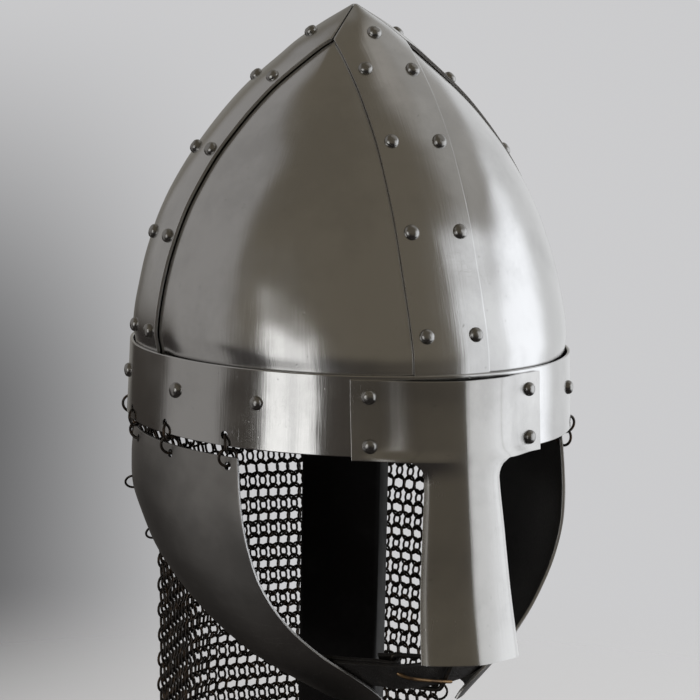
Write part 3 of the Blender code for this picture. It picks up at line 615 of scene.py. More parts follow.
def grid(across, up, place, span, away=True, keep=None):
    """A bent grid whose point (u, v) of the unit square goes to place(u, v), with its UV map in metres."""
    bm = bmesh.new()
    uv = bm.loops.layers.uv.verify()
    bmesh.ops.create_grid(bm, x_segments=across, y_segments=up, size=0.5, calc_uvs=True)
    if keep:
        spare = [face for face in bm.faces
                 if not keep(face.calc_center_median().x + 0.5, face.calc_center_median().y + 0.5)]
        bmesh.ops.delete(bm, geom=spare, context="FACES")
    for face in bm.faces:
        for loop in face.loops:
            loop[uv].uv = (loop[uv].uv.x * span[0], loop[uv].uv.y * span[1])
    for vert in bm.verts:
        vert.co = place(vert.co.x + 0.5, vert.co.y + 0.5)
    bmesh.ops.remove_doubles(bm, verts=bm.verts, dist=0.00001)
    bm.normal_update()
    facing = sum(face.normal.x * face.calc_center_median().x + face.normal.y * face.calc_center_median().y
                 for face in bm.faces)
    if (facing < 0) == away:
        bmesh.ops.reverse_faces(bm, faces=bm.faces)
    return bm


def soften(piece, width):
    """A modifier that rounds a piece's sharp edges."""
    rounding = piece.modifiers.new("edge", "BEVEL")
    rounding.width = width
    rounding.segments = 2
    rounding.limit_method = "ANGLE"
    rounding.angle_limit = math.radians(ROUNDED_ANGLE)
    return rounding


def sheet(name, bm, wall, edge, finishes, nodes, spots=(), hole_radius=0.0):
    """A wall of metal behind a bent grid, with rounded edges and holes drilled through it."""
    piece = add_piece(name, from_bmesh(name, bm), finishes, nodes)
    shell = piece.modifiers.new("wall", "SOLIDIFY")
    shell.thickness = wall
    shell.offset = -1.0
    shell.use_even_offset = True
    shell.material_offset = min(1, len(finishes) - 1)
    shell.material_offset_rim = len(finishes) - 1
    if edge:
        soften(piece, edge).miter_outer = "MITER_ARC"
    if spots:
        cutter = drill_bits(name + "_holes", spots, hole_radius)
        cut = piece.modifiers.new("holes", "BOOLEAN")
        cut.operation = "DIFFERENCE"
        cut.solver = "EXACT"
        cut.object = cutter
        bpy.context.view_layer.update()
        settle(piece)
        bpy.data.objects.remove(cutter, do_unlink=True)
    else:
        settle(piece)
    return piece


def drill_bits(name, spots, radius):
    """Pins for cutting round holes, one on each spot, which is a point and its outward direction."""
    bm = bmesh.new()
    for point, out in spots:
        bmesh.ops.create_cone(bm, cap_ends=True, segments=24, radius1=radius, radius2=radius,
                              depth=PIN_LENGTH, matrix=turned_to(out, point))
    cutter = bpy.data.objects.new(name, from_bmesh(name, bm))
    bpy.context.scene.collection.objects.link(cutter)
    return cutter


def turned_to(out, point):
    """A matrix that turns +Z to a direction and moves the origin to a point."""
    turn = Vector((0, 0, 1)).rotation_difference(out).to_matrix().to_4x4()
    turn.translation = point
    return turn


def copies(pattern, matrices):
    """One bmesh of a pattern mesh, copied to each matrix."""
    bm = bmesh.new()
    for matrix in matrices:
        each = pattern.copy()
        each.transform(matrix)
        bm.from_mesh(each)
        bpy.data.meshes.remove(each)
    return bm


# Shapes

def table(rows, column, share):
    """Read one column of a table at a share, along a smooth curve through its rows."""
    last = len(rows) - 1
    share = min(max(share, rows[0][0]), rows[last][0])
    k = max(i for i in range(last) if rows[i][0] <= share)
    slopes = []
    for i in (k, k + 1):
        before = rows[max(i - 1, 0)]
        after = rows[min(i + 1, last)]
        slopes.append((after[column] - before[column]) / (after[0] - before[0]))
    step = rows[k + 1][0] - rows[k][0]
    u = (share - rows[k][0]) / step
    start = (2 * u ** 3 - 3 * u ** 2 + 1) * rows[k][column] + (u ** 3 - 2 * u ** 2 + u) * step * slopes[0]
    end = (3 * u ** 2 - 2 * u ** 3) * rows[k + 1][column] + (u ** 3 - u ** 2) * step * slopes[1]
    return start + end


def oval(angle, half_length, half_width, height):
    """A point of a level oval."""
    turn = math.radians(angle)
    return Vector((half_width * math.sin(turn), -half_length * math.cos(turn), height))


def outward(place, angle, level, step=1e-4):
    """A point of an outer surface, which place(angle, level) gives, and its outward direction."""
    point = place(angle, level)
    around = place(angle + 0.1, level) - place(angle - 0.1, level)
    along = place(angle, level + step) - place(angle, level - step)
    out = around.cross(along).normalized()
    middle = (place(angle, level) + place(angle + 180, level)) / 2
    if out.dot(point - middle) < 0:
        out.negate()
    return point, out


def hole(place, angle, drop, wall):
    """The middle of a hole in a wall, and its outward direction."""
    point, out = outward(place, angle, drop)
    return point - out * wall / 2, out


def uneven(point, marks):
    """Noise at a point, summed over marks of a share and a size in metres each."""
    return sum(share * noise.noise(point / size) for share, size in marks)


def hammered(point):
    """How far the metal stands out at a point, from broad and from finer hammer marks."""
    return bpy.context.scene.helmet_sizes.dent * uneven(point, HAMMER_MARKS)


def dome_surface(angle, share):
    """The dome's outside; the side bands, at 90 and 270, are turned a little off square."""
    s = bpy.context.scene.helmet_sizes
    angle -= SIDE_BAND_TURN * math.sin(math.radians(angle)) ** 2
    inset = s.brow_wall + s.gap
    half_length = (s.brow_half_length - inset) * table(DOME_PROFILE, 1, share)
    half_width = (s.brow_half_width - inset) * table(DOME_PROFILE, 2, share)
    return oval(angle, half_length, half_width, s.brow_top + share * s.dome_height)


def dome_skin(angle, share, inset):
    """A point of a dome sheet's outer face, inset from the dome's outside."""
    point, out = outward(dome_surface, angle, share)
    return point + out * (hammered(point) - inset)


def brow_surface(angle, drop):
    """The brow band's outer face, at a drop below its top edge."""
    s = bpy.context.scene.helmet_sizes
    flare = s.brow_flare * drop / s.brow_height
    return oval(angle, s.brow_half_length + flare, s.brow_half_width + flare, s.brow_top - drop)


def hang_hole_drop():
    """The drop of the ring holes below the brow band's top edge."""
    return bpy.context.scene.helmet_sizes.brow_height - bpy.context.scene.helmet_rings.hole_rise


def cheek_top_drop():
    """The drop of the cheek plates' top edge, which two linked rings carry."""
    rings = bpy.context.scene.helmet_rings
    cheek = bpy.context.scene.helmet_cheek
    reach = 4 * rings.radius - rings.wire - bpy.context.scene.helmet_sizes.gap
    return hang_hole_drop() + math.sqrt(reach ** 2 - cheek.set_back ** 2) - cheek.hole_drop


def cheek_surface(angle, drop):
    """The cheek plates' outer face, bowled in towards the chin."""
    s = bpy.context.scene.helmet_sizes
    share = (drop - cheek_top_drop()) / bpy.context.scene.helmet_cheek.height
    reach = table(CHEEK_PROFILE, 1, share)
    forward = s.brow_half_length * table(CHEEK_PROFILE, 2, share)
    point = oval(angle, s.brow_half_length * reach, s.brow_half_width * reach, s.brow_top - drop)
    return point - Vector((0, forward, 0))


def mail_top_drop():
    """The drop of the mail's top edge, which single rings carry."""
    s = bpy.context.scene
    return hang_hole_drop() + 2 * s.helmet_rings.radius + s.helmet_rings.wire / 2 + s.helmet_sizes.gap


def mail_surface(angle, drop):
    """The mail's outer face, with folds that deepen towards the hem."""
    s = bpy.context.scene.helmet_sizes
    mail = bpy.context.scene.helmet_mail
    share = (drop - mail_top_drop()) / mail.drop
    reach = table(MAIL_PROFILE, 1, share)
    fold = mail.fold * min(max(share, 0.0), 1.0) * math.cos(math.radians(angle * 2 * MAIL_FOLDS))
    return oval(angle, s.brow_half_length * reach + fold, s.brow_half_width * reach + fold,
                s.brow_top - drop)


def band_half_size(centre, share):
    """Half the dome's size across a band."""
    s = bpy.context.scene.helmet_sizes
    inset = s.brow_wall + s.gap
    if centre in (90, 270):
        return (s.brow_half_length - inset) * table(DOME_PROFILE, 1, share)
    return (s.brow_half_width - inset) * table(DOME_PROFILE, 2, share)


def across_band(centre, offset, share):
    """The angle of a point that lies offset to one side of a band's centre line."""
    return centre + math.degrees(math.asin(offset / band_half_size(centre, share)))


def band_half_width(centre, share):
    """Half the band's width, which the mitre narrows to nothing at the top."""
    s = bpy.context.scene.helmet_sizes
    mitre = band_half_size(centre, share) * math.sin(math.radians(45)) - s.gap
    return min(s.band_width / 2, mitre)


def mitre_share():
    """The height share at which the mitre of the bands begins."""
    half = bpy.context.scene.helmet_sizes.band_width / 2
    shares = [0.5 + k / 800 for k in range(400)]
    return max(share for share in shares
               if min(band_half_width(0, share), band_half_width(90, share)) >= half)


# Rivets

def rivet_pattern():
    """A domed head with a low rim, standing on the origin."""
    s = bpy.context.scene.helmet_sizes
    bm = bmesh.new()
    verts = [bm.verts.new((reach * s.rivet_radius, 0, rise * s.rivet_rise))
             for reach, rise in RIVET_PROFILE]
    edges = [bm.edges.new(pair) for pair in zip(verts, verts[1:])]
    bmesh.ops.spin(bm, geom=verts + edges, cent=(0, 0, 0), axis=(0, 0, 1), steps=24,
                   angle=2 * math.pi, use_merge=True)
    bmesh.ops.remove_doubles(bm, verts=bm.verts, dist=0.000001)
    bmesh.ops.recalc_face_normals(bm, faces=bm.faces)
    return from_bmesh("rivet", bm)


def add_rivets(name, spots):
    """Rivet heads on spots, each turned and dented a little in its own way."""
    s = bpy.context.scene.helmet_sizes
    pattern = rivet_pattern()
    chance = random.Random(name)
    matrices = []
    for point, out in spots:
        lean = Vector([chance.uniform(-RIVET_LEAN, RIVET_LEAN) for k in range(3)])
        size = 1 + chance.uniform(-RIVET_VARIETY, RIVET_VARIETY)
        squash = Matrix.Diagonal((size, size * (1 + chance.uniform(-RIVET_SQUASH, RIVET_SQUASH)), 1, 1))
        spin = Matrix.Rotation(chance.uniform(0, math.pi), 4, "Z")
        matrices.append(turned_to((out + lean).normalized(), point) @ spin @ squash)
    bm = copies(pattern, matrices)
    for vert in bm.verts:
        vert.co += vert.normal * RIVET_ROUGHNESS * noise.noise(vert.co / (0.45 * s.rivet_radius))
    add_piece(name, from_bmesh(name, bm), ["rivet_steel"])


# Dome

def build_plate(name, start):
    """A dome plate from the band at one angle to the next band, 90 degrees on."""
    s = bpy.context.scene.helmet_sizes
    low = -s.skirt / s.dome_height
    inset = s.band_wall + s.gap

    def place(u, v):
        share = low + (PLATE_TOP_SHARE - low) * v
        first = across_band(start, PLATE_SEAM, share)
        end = (start + 90) % 360
        last = start + 90 + across_band(end, -PLATE_SEAM, share) - end
        angle = first + (last - first) * u
        from_band = []
        for centre in (start, end):
            turn = math.radians(abs((angle - centre + 180) % 360 - 180))
            from_band.append(turn * band_half_size(centre, share) - band_half_width(centre, share))
        clear = max(min(from_band), 0.0)
        bulge = s.plate_bulge * (1 - math.exp(-(clear / BULGE_RUN) ** 2))
        dip = s.plate_dip * math.exp(-(clear / DIP_RUN) ** 2)
        return dome_skin(angle, share, inset - bulge + dip)

    bm = grid(PLATE_CELLS, PLATE_CELLS, place, (PLATE_REACH, s.dome_height))
    sheet(name + "_skin", bm, s.plate_wall, 0.0, ["dome_steel"], [name])


def build_band(name, centre):
    """A dome band at an angle, mitred into the point, with its rivets."""
    s = bpy.context.scene.helmet_sizes
    low = -s.skirt / s.dome_height
    corner = mitre_share()
    bend = 0.8
    columns = 12
    rows = 120

    def place(u, v):
        if v <= bend:
            share = low + (corner - low) * v / bend
        else:
            share = corner + (BAND_TOP_SHARE - corner) * (v - bend) / (1 - bend)
        half = band_half_width(centre, share)
        offset = half * (2 * tight(u, columns, 0.02) - 1)
        return dome_skin(across_band(centre, offset, share), share, 0.0)

    bm = grid(columns, rows, place, (s.band_width, BAND_REACH * s.dome_height))
    sheet(name + "_skin", bm, s.band_wall, BAND_EDGE, ["band_steel", "band_steel", "edge_steel"],
          [name])
    shares = SIDE_RIVET_SHARES if centre in (90, 270) else FRONT_RIVET_SHARES
    pairs = [(side * s.rivet_spacing / 2, share) for share in shares for side in (-1, 1)]
    pairs.append((0.0, TOP_RIVET_SHARE))
    add_rivets(name + "_rivets", [outward(dome_surface, across_band(centre, offset, share), share)
                                  for offset, share in pairs])


# Brow band

def build_brow():
    """The brow band with its ring holes and rivets."""
    s = bpy.context.scene.helmet_sizes
    rings = bpy.context.scene.helmet_rings
    columns = 320
    rows = 18

    def place(u, v):
        angle = 180 + 360 * u
        drop = s.brow_height * (1 - tight(v, rows, 0.012))
        point, out = outward(brow_surface, angle, drop)
        return point + out * (BROW_HAMMERING * hammered(point) + s.dent * uneven(point, BROW_RIPPLES))

    angles = [side * a for a in HANGER_ANGLES + MAIL_HANGER_ANGLES for side in (1, -1)]
    spots = [hole(brow_surface, a, hang_hole_drop(), s.brow_wall) for a in angles]
    bm = grid(columns, rows, place, (BROW_REACH, s.brow_height))
    sheet("brow_band_skin", bm, s.brow_wall, BROW_EDGE, ["brow_steel"],
          ["brow_band"], spots, rings.hole_radius)
    add_rivets("brow_rivets", [outward(brow_surface, side * a, s.brow_rivet_drop)
                               for a in BROW_RIVET_ANGLES for side in (1, -1)])


# Nasal guard

def tee_point(across, drop):
    """A point of the guard's outer face: its arms lie on the brow, and its middle is a keel."""
    s = bpy.context.scene.helmet_sizes
    guard = bpy.context.scene.helmet_guard
    share = (drop - guard.top_drop) / (guard.bottom_drop - guard.top_drop)
    half = table(NASAL_PROFILE, 1, share)
    rise = guard.keel * table(NASAL_PROFILE, 2, share)
    lean = guard.lean * table(NASAL_PROFILE, 3, share)
    stand_off = s.brow_flare * min(drop / s.brow_height, 1.0) + s.gap + guard.wall
    shell = -(s.brow_half_length + stand_off)
    shell *= math.sqrt(1 - (across / (s.brow_half_width + stand_off)) ** 2)
    reach = math.sqrt((across / half) ** 2 + guard.ridge ** 2)
    if reach < 1:
        middle = 1 - KEEL_FALL * reach
    else:
        fall = min((reach - 1) / ARM_SLOPE, 1.0)
        middle = (1 - KEEL_FALL) * (1 - fall * fall * (3 - 2 * fall))
    edge = min(max((share - LIP_START) / LIP_RUN, 0.0), 1.0)
    turned_back = edge * guard.lip * min(max((reach - LIP_REACH) / (1 - LIP_REACH), 0.0), 1.0) ** 1.5
    return Vector((across, shell - rise * middle - lean + turned_back, s.brow_top - drop))


def build_guard():
    """The T of the nasal guard and the rivets on its arms."""
    s = bpy.context.scene.helmet_sizes
    guard = bpy.context.scene.helmet_guard
    nose = 16
    arm = 12
    most = nose + arm
    rows = 72
    arm_rows = 24
    arm_end = guard.arm_height / (guard.bottom_drop - guard.top_drop)

    def level(v):
        k = round((1 - v) * rows)
        if k <= arm_rows:
            return arm_end * tight(k / arm_rows, arm_rows, 0.012)
        return arm_end + (1 - arm_end) * tight((k - arm_rows) / (rows - arm_rows), rows - arm_rows, 0.006)

    def place(u, v):
        share = level(v)
        drop = guard.top_drop + share * (guard.bottom_drop - guard.top_drop)
        half = table(NASAL_PROFILE, 1, share)
        k = round(u * 2 * most) - most
        beyond = abs(k) - nose
        if beyond <= 0:
            across = half * (1 - tight(1 - abs(k) / nose, nose, 0.015))
        else:
            across = half + (guard.half_span - half) * tight(beyond / arm, arm, 0.012)
        point = tee_point(math.copysign(across, k), drop)
        return point - Vector((0, 1, 0)) * GUARD_HAMMERING * hammered(point)

    def keep(u, v):
        low = (1 - v) * rows > arm_rows
        outer = abs(u - 0.5) * 2 * most > nose
        return not (low and outer)

    bm = grid(2 * most, rows, place, (2 * guard.half_span, guard.bottom_drop), keep=keep)
    sheet("nasal_guard_skin", bm, guard.wall, SHEET_EDGE, ["guard_steel"],
          ["nasal_guard"])
    across = (s.brow_half_width + guard.wall) * math.sin(math.radians(TEE_RIVET_ANGLE))
    spots = []
    for drop in TEE_RIVET_DROPS:
        for side in (1, -1):
            out = outward(brow_surface, side * TEE_RIVET_ANGLE, drop)[1]
            spots.append((tee_point(side * across, drop), out))
    add_rivets("nasal_rivets", spots)


# Cheek plates

def loose_ring_spot(share, side):
    """A hole inside the rear edge of a cheek plate, its outward way and the way to that edge."""
    s = bpy.context.scene.helmet_sizes
    rings = bpy.context.scene.helmet_rings
    cheek = bpy.context.scene.helmet_cheek
    reach = s.brow_half_length * table(CHEEK_PROFILE, 1, share)
    angle = side * (table(CHEEK_PROFILE, 4, share) - math.degrees(rings.loose_inset / reach))
    drop = cheek_top_drop() + share * cheek.height
    point, out = hole(cheek_surface, angle, drop, cheek.wall)
    rearward = (cheek_surface(angle + side, drop) - cheek_surface(angle, drop)).normalized()
    return point, out, rearward


def build_cheek(word, side):
    """A cheek plate with its ring holes, its inner face painted near-black as shade."""
    rings = bpy.context.scene.helmet_rings
    cheek = bpy.context.scene.helmet_cheek
    columns = 56
    rows = 72

    def place(u, v):
        share = 1 - tight(v, rows, 0.004)
        front = table(CHEEK_PROFILE, 3, share)
        rear = table(CHEEK_PROFILE, 4, share)
        angle = side * (front + (rear - front) * tight(u, columns, 0.006))
        drop = cheek_top_drop() + share * cheek.height
        point, out = outward(cheek_surface, angle, drop)
        return point + out * CHEEK_HAMMERING * hammered(point)

    top = cheek_top_drop() + cheek.hole_drop
    spots = [hole(cheek_surface, side * a, top, cheek.wall) for a in HANGER_ANGLES]
    spots += [loose_ring_spot(share, side)[:2] for share in LOOSE_RING_SHARES]
    bm = grid(columns, rows, place, (CHEEK_REACH, cheek.height))
    # The inner faces take the near-black painted shade.
    sheet(f"cheek_plate_{word}_skin", bm, cheek.wall, SHEET_EDGE,
          ["cheek_steel", "inside_painted_shade", "edge_steel"], [f"cheek_plate_{word}"],
          spots, rings.hole_radius)


# Rings

def ring_pattern(name, radius, wire, sides, wire_sides):
    """A ring of round wire about the origin, in the XY plane."""
    bm = bmesh.new()
    stand = Matrix.Translation((radius, 0, 0)) @ Matrix.Rotation(math.pi / 2, 4, "X")
    section = bmesh.ops.create_circle(bm, segments=wire_sides, radius=wire / 2, matrix=stand)
    bmesh.ops.spin(bm, geom=section["verts"] + list(bm.edges), cent=(0, 0, 0), axis=(0, 0, 1),
                   steps=sides, angle=2 * math.pi, use_merge=True)
    bmesh.ops.remove_doubles(bm, verts=bm.verts, dist=0.000001)
    bmesh.ops.recalc_face_normals(bm, faces=bm.faces)
    return from_bmesh(name, bm)


def ring_matrix(hold, level, radius, way):
    """Where a ring goes that is held at a point and reaches away from it one way."""
    flat = (level - way * level.dot(way)).normalized()
    across = flat.cross(way)
    turn = Matrix((flat, way, across)).transposed().to_4x4()
    turn.translation = hold + way * radius
    return turn


def add_ring(node, hold, level, wire, way=Vector((0, 0, -1))):
    """A wire ring in place of a CAD node, held at a point and hanging one way."""
    rings = bpy.context.scene.helmet_rings
    mesh = ring_pattern(node, rings.radius, wire, rings.sides, rings.wire_sides)
    mesh.transform(ring_matrix(hold, level, rings.radius, way))
    add_piece(node + "_wire", mesh, ["black_wire"], [node])


def twist(direction, angle):
    """A direction turned about the vertical."""
    turn = math.radians(angle)
    return Vector((direction.x * math.cos(turn) - direction.y * math.sin(turn),
                   direction.x * math.sin(turn) + direction.y * math.cos(turn), 0))


def build_rings():
    """Linked pairs that carry the cheek plates, rings that carry the mail, and the loose rings."""
    s = bpy.context.scene.helmet_sizes
    rings = bpy.context.scene.helmet_rings
    cheek = bpy.context.scene.helmet_cheek
    sag = math.radians(LOOSE_RING_SAG)
    top = cheek_top_drop() + cheek.hole_drop
    for word, side in SIDES:
        for number, angle in enumerate(HANGER_ANGLES, 1):
            high, out = hole(brow_surface, side * angle, hang_hole_drop(), s.brow_wall)
            low = hole(cheek_surface, side * angle, top, cheek.wall)[0]
            down = (low - high).normalized()
            add_ring(f"hanger_upper_{word}_{number}", high, twist(out, HANGER_TWIST), rings.wire, down)
            add_ring(f"hanger_lower_{word}_{number}", low, twist(out, -HANGER_TWIST), rings.wire, -down)
        for number, angle in enumerate(MAIL_HANGER_ANGLES, 1):
            high, out = hole(brow_surface, side * angle, hang_hole_drop(), s.brow_wall)
            add_ring(f"mail_hanger_{word}_{number}", high, out, rings.wire)
        for number, share in enumerate(LOOSE_RING_SHARES, 1):
            point, out, rearward = loose_ring_spot(share, side)
            way = rearward * math.cos(sag) - Vector((0, 0, math.sin(sag)))
            way = (way - out * way.dot(out)).normalized()
            add_ring(f"loose_ring_{word}_{number}", point, out, rings.loose_wire, way)


# Mail

def mail_matrices(side):
    """Places of the rings of one half of the curtain: rows that lean one way and the other in turn."""
    s = bpy.context.scene
    mail = s.helmet_mail
    chance = random.Random(side)
    top = mail_top_drop() + mail.radius - s.helmet_rings.wire
    rows = int((mail_top_drop() + mail.drop - mail.radius - top) / mail.row) + 1
    matrices = []
    for row in range(rows):
        drop = top + row * mail.row
        edge = table(MAIL_PROFILE, 2, (drop - mail_top_drop()) / mail.drop)
        first = 0.5 if row % 2 == 0 else 0.0
        count = int((180 - edge) / mail.step - first) + 1
        for k in range(count):
            if side > 0 and first == 0.0 and k == 0:
                continue
            angle = 180 - side * (first + k) * mail.step
            point, out = outward(mail_surface, angle, drop + chance.uniform(-1, 1) * MAIL_LIFT)
            lean = mail.tilt * (1 if row % 2 == 0 else -1) + chance.uniform(-MAIL_SWAY, MAIL_SWAY)
            normal = Matrix.Rotation(math.radians(lean), 3, "Z") @ out
            normal.z += chance.uniform(-MAIL_NOD, MAIL_NOD)
            matrices.append(turned_to(normal.normalized(), point - out * mail.wall / 2))
    return matrices


def build_mail():
    """The mail curtain's rings, in two halves."""
    mail = bpy.context.scene.helmet_mail
    pattern = ring_pattern("mail_ring", mail.radius, mail.wire, mail.sides, mail.wire_sides)
    for word, side in SIDES:
        name = f"mail_rings_{word}"
        add_piece(name, from_bmesh(name, copies(pattern, mail_matrices(side))), ["black_wire"],
                  ["mail_curtain"])


# Chin strap

def strap_place(angle, depth, rise=0.0):
    """A point at a depth inside the cheek plates' surface, as it runs on round the chin."""
    drop = cheek_top_drop() + STRAP_SHARE * bpy.context.scene.helmet_cheek.height
    point, out = outward(cheek_surface, angle, drop)
    up = (cheek_surface(angle, drop - 1e-4) - cheek_surface(angle, drop + 1e-4)).normalized()
    return point - out * depth + up * rise


def strap_route(keys, step=1.0):
    """Add points between the key points (angle, depth) so that the strap bends smoothly."""
    route = []
    for start, end in zip(keys, keys[1:]):
        count = max(1, round(abs(end[0] - start[0]) / step))
        for k in range(count):
            u = k / count
            ease = u * u * (3 - 2 * u)
            route.append((start[0] + (end[0] - start[0]) * u, start[1] + (end[1] - start[1]) * ease))
    route.append(keys[-1])
    return route


def ribbon(name, route, node):
    """A strap on edge along a route of (angle, depth) at its middle line."""
    strap = bpy.context.scene.helmet_strap
    middle = [strap_place(angle, depth) for angle, depth in route]
    upper = [strap_place(angle, depth, strap.width / 2) for angle, depth in route]
    last = len(route) - 1
    rows = 6

    def place(u, v):
        j = round(u * last)
        return middle[j] + (upper[j] - middle[j]) * (2 * tight(v, rows, 0.05) - 1)

    bm = grid(last, rows, place, (STRAP_REACH, strap.width))
    piece = add_piece(name, from_bmesh(name, bm), ["strap_leather"], [node])
    shell = piece.modifiers.new("wall", "SOLIDIFY")
    shell.thickness = strap.wall
    shell.offset = 0.0
    soften(piece, SHEET_EDGE)
    settle(piece)


def wire_piece(name, points, radius, closed, finish_name, node):
    """A round wire through points."""
    curve = bpy.data.curves.new(name, "CURVE")
    curve.dimensions = "3D"
    curve.bevel_depth = radius
    curve.bevel_resolution = 5
    curve.use_fill_caps = not closed
    curve.resolution_u = 6
    spline = curve.splines.new("NURBS")
    spline.points.add(len(points) - 1)
    for knot, point in zip(spline.points, points):
        knot.co = (*point, 1.0)
    spline.use_cyclic_u = closed
    spline.use_endpoint_u = not closed
    spline.order_u = 3
    guide = bpy.data.objects.new(name + "_guide", curve)
    mesh = bpy.data.meshes.new_from_object(guide)
    bpy.data.objects.remove(guide, do_unlink=True)
    mesh.name = name
    mesh.shade_smooth()
    add_piece(name, mesh, [finish_name], [node])


def build_strap():
    """The two leathers of the chin strap, and the buckle's frame and prong."""
    s = bpy.context.scene
    strap = s.helmet_strap
    gap = s.helmet_sizes.gap
    lie = s.helmet_cheek.wall + strap.room + strap.wall / 2
    layer = strap.wall + gap
    crest = lie - layer / 2
    hinge_depth = crest + strap.wall * 1.5 + 2 * gap + strap.buckle_wire
    outer_depth = lie - strap.wall / 2 - gap - strap.buckle_wire
    turn_radius = strap.buckle_wire + gap + strap.wall / 2
    left_keys = [(STRAP_HOLD, lie), (BUCKLE_OUTER_ANGLE + 3, lie), (BUCKLE_OUTER_ANGLE - 2, lie),
                 (BUCKLE_HINGE_ANGLE + 3, crest), (BUCKLE_HINGE_ANGLE - 0.5, crest),
                 (BUCKLE_HINGE_ANGLE - 9, lie), (BUCKLE_HINGE_ANGLE - STRAP_TAIL, lie)]
    ribbon("chin_strap_left_leather", strap_route(left_keys), "chin_strap_left")
    near = hinge_depth - turn_radius
    right_keys = [(-STRAP_HOLD, lie), (-STRAP_HOLD + 5, lie),
                  (BUCKLE_HINGE_ANGLE - STRAP_TAIL - 5, lie + layer),
                  (BUCKLE_HINGE_ANGLE - 8, max(near, lie + layer)), (BUCKLE_HINGE_ANGLE, near)]
    right_route = strap_route(right_keys)
    radius = (strap_place(BUCKLE_HINGE_ANGLE + 1, hinge_depth)
              - strap_place(BUCKLE_HINGE_ANGLE, hinge_depth)).length / math.radians(1)
    bends = 10
    for k in range(1, bends):
        a = math.pi * k / bends
        right_route.append((BUCKLE_HINGE_ANGLE + math.degrees(turn_radius * math.sin(a) / radius),
                            hinge_depth - turn_radius * math.cos(a)))
    right_route += [(BUCKLE_HINGE_ANGLE, hinge_depth + turn_radius),
                    (BUCKLE_HINGE_ANGLE - 6, hinge_depth + turn_radius)]
    ribbon("chin_strap_right_leather", right_route, "chin_strap_right")

    high = strap.width / 2 + strap.buckle_room + strap.buckle_wire
    frame_points = []
    for u, v in [(-1, -0.8), (-1, 0), (-1, 0.8), (-0.9, 1), (0, 1), (0.9, 1), (1, 0.8), (1, 0), (1, -0.8),
                 (0.9, -1), (0, -1), (-0.9, -1)]:
        hinge = strap_place(BUCKLE_HINGE_ANGLE, hinge_depth, high * v)
        outer = strap_place(BUCKLE_OUTER_ANGLE, outer_depth, high * v)
        frame_points.append(hinge.lerp(outer, (1 + u) / 2))
    wire_piece("buckle_frame_wire", frame_points, strap.buckle_wire, True, "buckle_black",
               "buckle_frame")
    over = outer_depth - strap.buckle_wire - gap - strap.prong_wire
    prong_keys = [(BUCKLE_HINGE_ANGLE, hinge_depth - strap.buckle_wire - gap - strap.prong_wire),
                  (BUCKLE_HINGE_ANGLE + 0.9, crest), (BUCKLE_HINGE_ANGLE + 3.6, over + PRONG_DIP),
                  (BUCKLE_HINGE_ANGLE + 7.5, over), (BUCKLE_OUTER_ANGLE, over),
                  (BUCKLE_OUTER_ANGLE + 2.4, over + PRONG_TIP_DIP)]
    span = prong_keys[-1][0] - prong_keys[0][0]
    points = [strap_place(angle, depth, PRONG_FALL * (0.5 - (angle - prong_keys[0][0]) / span))
              for angle, depth in prong_keys]
    wire_piece("buckle_prong_wire", points, strap.prong_wire, False, "prong_brown",
               "buckle_prong")


# Stand

def build_stand():
    """The round base and square post, and the finish of the hidden block."""
    s = bpy.context.scene.helmet_sizes
    stand = bpy.context.scene.helmet_stand
    bm = bmesh.new()
    bmesh.ops.create_circle(bm, cap_ends=True, segments=128, radius=stand.base_radius)
    raised = bmesh.ops.extrude_face_region(bm, geom=list(bm.faces))
    top = [item for item in raised["geom"] if isinstance(item, bmesh.types.BMVert)]
    bmesh.ops.translate(bm, verts=top, vec=(0, 0, stand.base_height))
    round_edges(bm, stand.edge)
    add_piece("stand_base_wood", from_bmesh("stand_base_wood", bm), ["stand_wood"],
              ["stand_base"])

    low = stand.base_height + s.gap
    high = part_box("stand_post")[1].z
    bm = bmesh.new()
    stretch = Matrix.Diagonal((stand.post_width, stand.post_width, high - low, 1))
    turn = Matrix.Rotation(math.radians(POST_TURN), 4, "Z")
    lift = Matrix.Translation((0, 0, (low + high) / 2))
    bmesh.ops.create_cube(bm, size=1.0, matrix=lift @ turn @ stretch)
    round_edges(bm, stand.edge)
    add_piece("stand_post_wood", from_bmesh("stand_post_wood", bm), ["stand_wood"],
              ["stand_post"])
    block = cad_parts["stand_block"]
    block.data.materials.clear()
    block.data.materials.append(finish("stand_wood"))


def round_edges(bm, width):
    """Bevel the sharp edges of a closed bmesh."""
    bmesh.ops.recalc_face_normals(bm, faces=bm.faces)
    sharp = [edge for edge in bm.edges if edge.calc_face_angle(0.0) > math.radians(SHARP_ANGLE)]
    bmesh.ops.bevel(bm, geom=sharp, offset=width, segments=4, affect="EDGES", profile=0.5, material=-1)


# Stage

def build_floor():
    """A pale floor that fades out before its rim."""
    bm = bmesh.new()
    bmesh.ops.create_circle(bm, cap_ends=True, segments=96, radius=FLOOR_RADIUS)
    bmesh.ops.translate(bm, verts=bm.verts, vec=(0, 0, -FLOOR_DROP))
    floor = bpy.data.objects.new("floor", from_bmesh("floor", bm))
    bpy.context.scene.collection.objects.link(floor)
    pale = tuple(bpy.context.scene.helmet_finishes.backdrop)
    made, tree = new_material("floor_pale")
    across, along, _ = tree.split(tree.place())
    reach = (across * across + along * along) ** 0.5
    cover = 1 - reach.step(*FLOOR_FADE)
    surface(made, tree, Base_Color=(*pale, 1.0), Roughness=0.7, Alpha=cover)
    floor.data.materials.append(made)
    floor.visible_glossy = False


